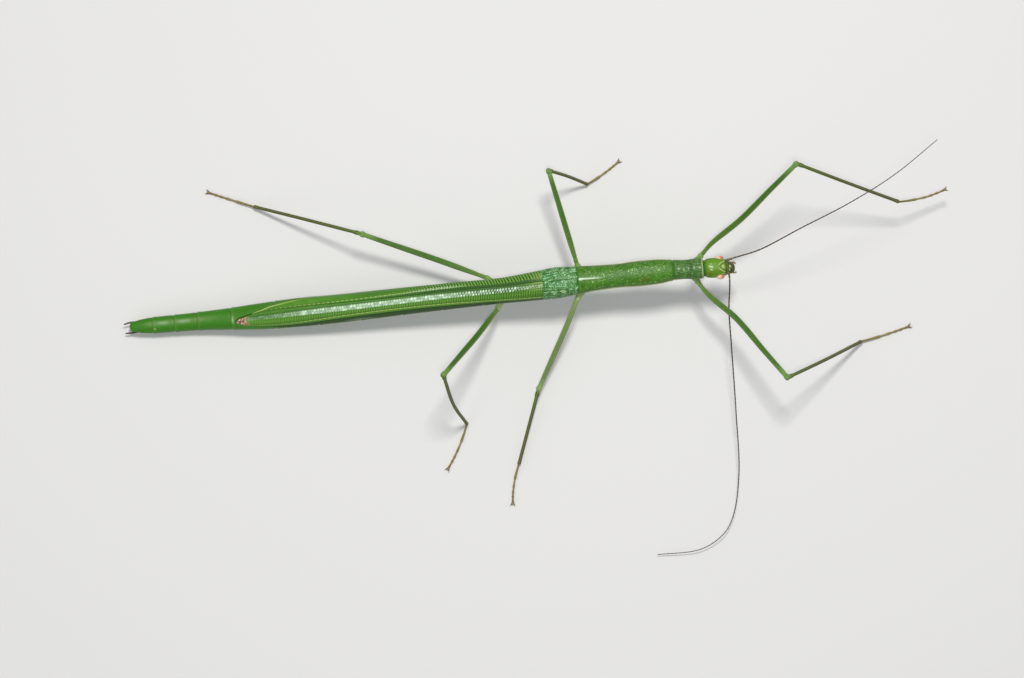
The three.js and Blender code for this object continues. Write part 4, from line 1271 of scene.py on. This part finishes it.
def forewing(name, low, high, seed):
    x = np.arange(TEGMEN_REAR - 0.1, WING_ROOT + 0.2, 0.045)[:, None]
    low = low + 0 * x
    high = high + 0 * x
    rear = np.sqrt(np.clip((x - x[0]) / 0.6, 0, 1))
    middle = (low + high) / 2
    low, high = middle + (low - middle) * (0.8 + 0.2 * rear), middle + (high - middle) * (0.8 + 0.2 * rear)

    def off_vein(x, angle, spread):
        """Degrees from a long vein; the veins start close together at the root and fan out behind."""
        return np.abs(angle - MEETING) - mix(42 + 0.18 * (spread - 42), spread, rise(66.2 - x, -0.8, 5.2))

    def long_veins(x, angle):
        return sum(strong * bump(off_vein(x, angle, spread), 1.7) for spread, strong in LONG_VEINS)

    def relief(x, angle):
        edge, _ = net(x, angle, seed, NET_STEP)
        hump = 0.08 * bump(x - 63.2, 1.3) * bump(np.abs(angle - MEETING) - 38, 26)
        return 0.03 - 0.02 * edge - 0.045 * long_veins(x, angle) - hump \
            + margins_rounded(angle, low, high, 2.0, 0.05) + 0.14 * (1 - rear) + 0.3 * rise(x, 65.75, 66.15)

    thickness = lambda x, angle: 0.2 + 0.2 * rise(x, 65.75, 66.15) + 0 * angle
    angle, inner, rings = wing_rings(x, low, high, 97, relief, thickness)
    edge, cell = net(x, angle, seed, NET_STEP)
    patch = bump(x - 63.6, 1.0) * bump(np.abs(angle - MEETING) - 48, 13)
    between = sum(bump(off_vein(x, angle, spread), 3.2) for spread in (33, 59, 74))
    masks = {"vein": np.maximum(0.75 * edge, long_veins(x, angle)), "cell": cell, "pale": patch,
             "dark": 1.05 * between + 0.3 * (1 - rear) + 0 * angle}
    return shell(name, rings, inner, masks)


# %% [markdown]
# The finish lights the veins and paints sparks of highlight on them and over the cover, which is glossy and
# uneven.

# %% Forewing finish
def forewing_finish():
    f = Finish("leathery forewing", Specular_IOR_Level=0.4)
    fine, blotch = f.noise(0.18), f.noise(0.8)
    colour = f.cover(paint(18, 88, 14), paint(60, 138, 32), blotch * 0.8 + fine * 0.3 - 0.05)
    colour = f.cover(colour, paint(10, 56, 8), f.mask("cell").between(0.9, 0.1) * 0.35)
    colour = f.cover(colour, paint(18, 44, 16), f.mask("dark") * 0.6)
    colour = f.cover(colour, paint(112, 178, 92), f.mask("vein") * (0.1 + 0.5 * fine))
    # glints and sparkle are painted highlights.
    glints = f.mask("vein").between(0.35, 0.9) * f.noise(0.4).between(0.48, 0.60)
    sparkle = f.noise(0.16, 2, (0.6, 1, 1)).between(0.55, 0.66) * f.noise(0.9).between(0.42, 0.58)
    colour = f.cover(colour, paint(184, 244, 190), glints * 0.75 + sparkle * 1.1)
    colour = f.cover(colour, paint(198, 216, 160), f.mask("pale") * blotch.between(0.4, 0.62) * 0.5)
    return f.wear(colour, 0.26 + 0.18 * fine, fine * 0.6 + f.noise(0.06, 2) * 0.5, 0.6, 0.04)


tegmen_green = forewing_finish()
for piece, node in (
    (forewing("forewing_left_skin", -13, MEETING + 0.2, 3), "forewing_left"),
    (forewing("forewing_right_skin", MEETING - 0.2, 193, 5), "forewing_right"),
):
    piece.data.materials.append(tegmen_green)
    dress(piece, "tegmen_green", node)

# %% [markdown]
# ## Eyes
# The compound eyes are smooth beads set in the sides of the head, cream behind and orange-pink in
# front, with a clear hard coat. A sphere stretched to the solid's three radii is the right shape. The
# facets are far too fine to model, so a fine cell pattern gives the coat its faint grain.


# %% Eyes
def ellipsoid(name, centre, radii, around=48, along=33):
    """A closed bead; its rings run from the back to the front."""
    polar = np.linspace(0.02, math.pi - 0.02, along)[:, None]
    turn = 2 * math.pi * np.arange(around)[None, :] / around
    forward = -np.cos(polar) + 0 * turn
    rings = np.stack([forward, np.sin(polar) * np.cos(turn), np.sin(polar) * np.sin(turn)], -1)
    return closed_tube(name, np.array(centre) + rings * np.array(radii), {"front": forward})


def eye_finish():
    f = Finish("eye", Specular_IOR_Level=0.6, Coat_Weight=1.0, Coat_Roughness=0.05)
    blotch, fine = f.noise(0.35), f.noise(0.1)
    front = (f.mask("front") + (blotch - 0.5) * 0.9).between(-0.35, 0.55)
    colour = f.blend(paint(240, 206, 168), paint(206, 98, 66), front)
    colour = f.blend(colour, paint(255, 240, 218), blotch.between(0.52, 0.66) * 0.6)
    colour = f.blend(colour, paint(196, 96, 78), fine.between(0.56, 0.7) * 0.35)
    return f.wear(colour, 0.16 + 0.1 * fine, f.specks(0.045), 0.35, 0.006)


eye_pink = eye_finish()
for side, sign in (("left", 1), ("right", -1)):
    low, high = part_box(f"eye_{side}")
    middle = np.array((low + high) / 2) / MM + MIDDLE
    bead = ellipsoid(f"eye_{side}_bead", middle, EYE["radii"])
    bead.data.materials.append(eye_pink)
    dress(bead, "eye_pink", f"eye_{side}")

# %% [markdown]
# ## Feelers
# Each feeler is a thick first joint, a short second one and then fifty to eighty tiny joints in a whip
# that thins towards its tip. A plain tapering wire would look like a bristle, so each joint swells a
# little at its far end. The colour starts olive at the head and soon turns dark brown.

# %% Feelers
FEELER_ROUTES = {
    "left": [(87.0, 0.7, 10.15), (88.5, 1.05, 10.6), (92.5, 1.75, 12.2), (98.3, 3.9, 14.6),
             (105.5, 6.6, 17.0), (112.0, 9.75, 19.0), (118.4, 14.0, 20.5)],
    "right": [(87.2, -0.35, 10.05), (87.85, -1.35, 10.2), (87.45, -6.1, 8.55), (87.45, -11.0, 6.8),
              (87.4, -20.3, 4.2), (87.0, -30.0, 2.5), (85.0, -36.8, 1.6), (80.9, -39.7, 1.0),
              (74.2, -40.0, 0.6)],
}
SCAPE, PEDICEL = (1.15, 0.19), (0.45, 0.145)  # length and radius of the first two joints
WHIP_START, WHIP_END = 0.11, 0.055
JOINT_LENGTH = 0.62


def feeler(side):
    path = smooth_path(FEELER_ROUTES[side], 900 if side == "right" else 640)
    mm = np.concatenate([[0], np.cumsum(np.linalg.norm(np.diff(path, axis=0), axis=1))])
    past = mm - SCAPE[0] - PEDICEL[0]
    along = np.where(past < 0, 0.5, (past / JOINT_LENGTH) % 1)
    whip = mix(WHIP_START, WHIP_END, np.clip(past / past[-1], 0, 1)) * (0.9 + 0.2 * rise(along, 0.2, 0.9))
    whip = whip * (1 - 0.3 * bump(along - 1.0, 0.07))
    radius = np.where(mm < SCAPE[0], SCAPE[1], np.where(past < 0, PEDICEL[1], whip))
    radius = radius * (1 - 0.3 * bump(mm - SCAPE[0], 0.07)) * (1 - 0.3 * bump(past, 0.07))
    radius = radius * ends_closed(np.linspace(0, 1, len(mm)), mm[-1], 0.1, 0.3)
    rings, _ = tube_rings(path, radius, plain_section, 12)
    run = np.broadcast_to((mm / mm[-1])[:, None], rings.shape[:2])
    joint = np.broadcast_to(bump(along - 1.0, 0.14)[:, None] * (past > 0)[:, None], rings.shape[:2])
    base = np.broadcast_to((1 - rise(mm, 0.9, 2.4))[:, None], rings.shape[:2])
    return closed_tube(f"feeler_{side}", rings, {"run": run, "joint": joint, "base": base})


def feeler_finish():
    f = Finish("feeler brown", Specular_IOR_Level=0.45)
    fine = f.noise(0.12)
    colour = f.blend(paint(52, 38, 24), paint(86, 68, 46), fine.between(0.3, 0.7))
    colour = f.blend(colour, paint(104, 84, 62), f.mask("run").between(0.5, 1.0) * 0.4)
    colour = f.blend(colour, paint(26, 18, 12), f.mask("joint") * 0.7)
    colour = f.blend(colour, paint(96, 104, 46), f.mask("base") * 0.8)
    return f.wear(colour, 0.42 + 0.2 * fine, fine, 0.4, 0.01)


feeler_brown = feeler_finish()
for side in ("left", "right"):
    whip = feeler(side)
    whip.data.materials.append(feeler_brown)
    dress(whip, "antenna_brown", *[f"antenna_{side}_{part}" for part in ("base", "middle", "tip")])

# %% [markdown]
# ## Mouth
# Below the face hangs the lip, with the jaws' outer edges beside it and two pairs of jointed palps.
# From above only a blunt olive wedge and the palps' pinkish tips show, but the wedge has its cross
# grooves, and each palp is three joints, so that it still reads as a mouth from the front.

# %% Mouth
LIP = [[87.45, 1.7, 1.5, 9.4, -0.06], [87.97, 1.8, 1.6, 9.3, -0.06], [88.35, 1.68, 1.45, 9.18, -0.06],
       [88.7, 1.35, 1.1, 9.05, -0.07], [88.9, 0.8, 0.6, 8.95, -0.08]]
MOUTH_PARTS = (
    ("jaw palp", [(88.05, 0.45, 9.0), (88.5, 0.72, 8.85), (88.85, 0.78, 8.6), (89.05, 0.6, 8.25)], 0.115),
    ("lip palp", [(88.0, 0.2, 8.7), (88.35, 0.3, 8.45), (88.6, 0.28, 8.15)], 0.11),
    ("jaw", [(87.7, 0.62, 9.3), (88.2, 0.66, 8.9), (88.55, 0.35, 8.6)], 0.24),
)


def lip():
    x = np.concatenate([np.arange(87.45, 88.86, 0.03), [88.87, 88.885, 88.896]])[:, None]
    angle = np.arange(64)[None, :] * 360 / 64
    width, height, axis, drift = through(LIP, x)
    ends = np.sqrt(np.maximum(1 - np.clip(1 - (88.9 - x) / 0.3, 0, 1) ** 2, 0.0004))
    groove = bump(x - 88.22, 0.06) + 0.8 * bump(x - 88.6, 0.05) + 0.6 * bump(angle - 90, 4) * (x > 88.5)
    c, s = np.cos(np.radians(angle)), np.sin(np.radians(angle))
    half_width, half_height = width / 2 * ends - 0.05 * groove, height / 2 * ends - 0.05 * groove
    points = np.stack(np.broadcast_arrays(x, drift + half_width * c, axis + half_height * s), -1)
    # `pale` paints two highlights on the top of the lip.
    pale = bump(x - 88.1, 0.12) * bump(angle - 84, 12) + 0.8 * bump(x - 87.98, 0.1) * bump(angle - 116, 9)
    return closed_tube("mouth", points, {"shade": groove, "pale": pale})


def palp(name, points, radius):
    path = smooth_path(points, 46)
    t = np.linspace(0, 1, 46)
    length = sum(np.linalg.norm(np.diff(path, axis=0), axis=1))
    joints = (t * 3) % 1
    girth = radius * (0.85 + 0.25 * rise(joints, 0.1, 0.8)) * (1 - 0.3 * bump(joints - 1, 0.08))
    rings, _ = tube_rings(path, girth * ends_closed(t, length, 0.1, 0.12), plain_section, 16)
    return closed_tube(name, rings, {"pink": np.ones(rings.shape[:2]) * rise(t, 0.2, 0.6)[:, None]})


def mouth_finish():
    f = Finish("mouth olive", Specular_IOR_Level=0.4, Coat_Weight=0.1, Coat_Roughness=0.25)
    fine, blotch = f.noise(0.12), f.noise(0.4)
    colour = f.cover(paint(38, 56, 6), paint(84, 104, 20), blotch * 0.8 + fine * 0.3)
    colour = f.cover(colour, paint(28, 28, 8), f.mask("shade") * 0.6)
    # The pale mask is painted highlight.
    colour = f.cover(colour, paint(226, 226, 178), f.mask("pale") * 0.9)
    colour = f.cover(colour, paint(196, 142, 92), f.mask("pink") * (0.6 + 0.3 * fine))
    return f.wear(colour, 0.38 + 0.15 * fine, fine, 0.5, 0.02)


mouth = lip()
palps = []
for sign in (1, -1):
    for name, route, radius in MOUTH_PARTS:
        palps.append(palp(f"{name} {sign}", [(x, sign * out, z) for x, out, z in route], radius))
weld(mouth, palps, ["shade", "pale", "pink"], 4)
mouth.data.materials.append(mouth_finish())
dress(mouth, "mouth_olive", "mouthparts")

# %% [markdown]
# ## Claws
# Each foot ends in two curved claws with a soft round pad between them, which is what grips a smooth
# leaf. The claws are horn, so they stay apart from the skin: brown, glossy and sharp.

# %% Claws
CLAW_LENGTH, CLAW_SPREAD, CLAW_RADIUS = 0.62, 0.30, 0.075


def claw_set(name, leg):
    path = foot_path(leg, 60)
    tip, forward = path[-1], unit((path[-1] - path[-4]) * np.array([1, 1, 0]))
    aside = np.cross(UP, forward)
    at = lambda ahead, out, up: tip + forward * ahead + aside * out + UP * up
    low = 0.02 - (tip[2] if leg["tip"] < 1 else FLOOR_TOUCH)
    t = np.linspace(0, 1, 28)
    parts = []
    for sign in (1, -1):
        hook = smooth_path([
            at(-0.12, sign * 0.03, 0.0), at(0.16, sign * 0.16, 0.1),
            at(0.42, sign * CLAW_SPREAD, 0.06), at(CLAW_LENGTH, sign * CLAW_SPREAD, low + 0.03),
        ], 28)
        girth = CLAW_RADIUS * (1 - 0.75 * t**1.5) * ends_closed(t, 0.8, 0.05, 0.04)
        rings, _ = tube_rings(hook, girth, plain_section, 12)
        parts.append(closed_tube(f"hook {sign}", rings, {"horn": np.ones(rings.shape[:2])}))
    pad_path = smooth_path([at(-0.08, 0, 0.0), at(0.2, 0, 0.0), at(0.4, 0, low + 0.09)], 28)
    girth = (0.10 + 0.09 * rise(t, 0.3, 0.8)) * ends_closed(t, 0.5, 0.06, 0.16)
    rings, _ = tube_rings(pad_path, girth, plain_section, 20)
    pad = closed_tube(name, rings, {"horn": np.zeros(rings.shape[:2])})
    weld(pad, parts, ["horn"], 2)
    return pad


def claw_finish():
    f = Finish("claw horn", Specular_IOR_Level=0.55, Coat_Weight=0.3, Coat_Roughness=0.15)
    fine = f.noise(0.1)
    colour = f.blend(paint(150, 128, 76), paint(74, 50, 26), f.mask("horn").between(0.3, 0.8))
    colour = f.blend(colour, paint(40, 26, 14), fine.between(0.5, 0.8) * 0.4)
    return f.wear(colour, 0.28 + 0.2 * fine, fine, 0.3, 0.008)


claw_brown = claw_finish()
for name, leg in legs.items():
    piece = claw_set(f"claw_set_{name}", leg)
    piece.data.materials.append(claw_brown)
    dress(piece, "claw_brown", f"claws_{name}")

# %% [markdown]
# ## The tail
# Under the last rings lies the scoop that guides the eggs: a thin keeled plate, narrow at both ends.
# Beside it stand the two cerci, short dark feelers with blunt tips.

# %% Scoop and cerci
SCOOP_REAR, SCOOP_FRONT, SCOOP_HALF_ANGLE, SCOOP_DEPTH = 0.75, 8.6, 40, 0.42


def scoop():
    x = np.linspace(SCOOP_REAR, SCOOP_FRONT, 110)[:, None]
    t = (x - SCOOP_REAR) / (SCOOP_FRONT - SCOOP_REAR)
    spread = SCOOP_HALF_ANGLE * np.sqrt(np.sin(np.pi * np.clip(0.04 + 0.94 * t, 0, 1)))
    low, high = -90 - spread, -90 + spread
    full = SCOOP_DEPTH * np.sqrt(np.clip(np.sin(np.pi * np.clip(0.03 + 0.95 * t, 0, 1)), 0, 1))
    depth = lambda x, a: -(0.03 + full * (0.55 + 0.45 * bump((a + 90) / spread, 0.28))
                           * np.sqrt(np.clip(1.02 - ((a + 90) / spread) ** 2, 0, 1)))
    thickness = lambda x, a: 0.04 + 0 * a
    angle, inner, rings = wing_rings(x, low, high, 57, depth, thickness)
    keel = bump((angle + 90) / spread, 0.12)
    dark = 1 - rise(x + 0 * angle, SCOOP_REAR + 0.1, SCOOP_REAR + 1.3)
    return shell("egg_scoop", rings, inner, {"keel": keel, "dark": dark})


def scoop_finish():
    f = Finish("scoop green", Specular_IOR_Level=0.5, Coat_Weight=0.15, Coat_Roughness=0.3)
    fine, clouds = f.noise(0.16, 3, (3, 1, 1)), f.noise(0.9)
    colour = f.cover(paint(66, 112, 38), paint(112, 150, 66), clouds * 0.7 + fine * 0.4)
    colour = f.blend(colour, paint(176, 188, 116), f.mask("keel") * 0.6)
    colour = f.blend(colour, paint(48, 40, 18), f.mask("dark") * 0.85)
    return f.wear(colour, 0.38 + 0.16 * fine, fine, 0.5, 0.025)


plate = scoop()
plate.data.materials.append(scoop_finish())
dress(plate, "body_green", "operculum")

CERCI = {"left": [(1.3, 0.62, 1.35), (0.2, 0.66, 1.36), (-0.9, 0.45, 1.25)],
         "right": [(1.5, -0.7, 1.2), (0.3, -0.86, 1.12), (-0.8, -0.85, 0.95)]}
for side, points in CERCI.items():
    path = smooth_path(points, 50)
    t = np.linspace(0, 1, 50)
    girth = (0.155 - 0.05 * t) * ends_closed(t, 2.2, 0.1, 0.16)
    rings, _ = tube_rings(path, girth, plain_section, 20)
    run = np.broadcast_to(t[:, None], rings.shape[:2])
    masks = {"run": run, "joint": 0 * run, "base": 0.35 * (1 - run)}
    prong = closed_tube(f"cercus_{side}_prong", rings, masks)
    prong.data.materials.append(feeler_brown)
    dress(prong, "antenna_brown", f"cercus_{side}")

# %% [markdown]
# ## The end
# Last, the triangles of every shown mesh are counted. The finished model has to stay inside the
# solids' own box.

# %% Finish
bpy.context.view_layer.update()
total = sum(len(p.vertices) - 2 for o in bpy.data.objects if o.type == "MESH" and not o.hide_render
            for p in o.data.polygons)
print("triangles:", total)
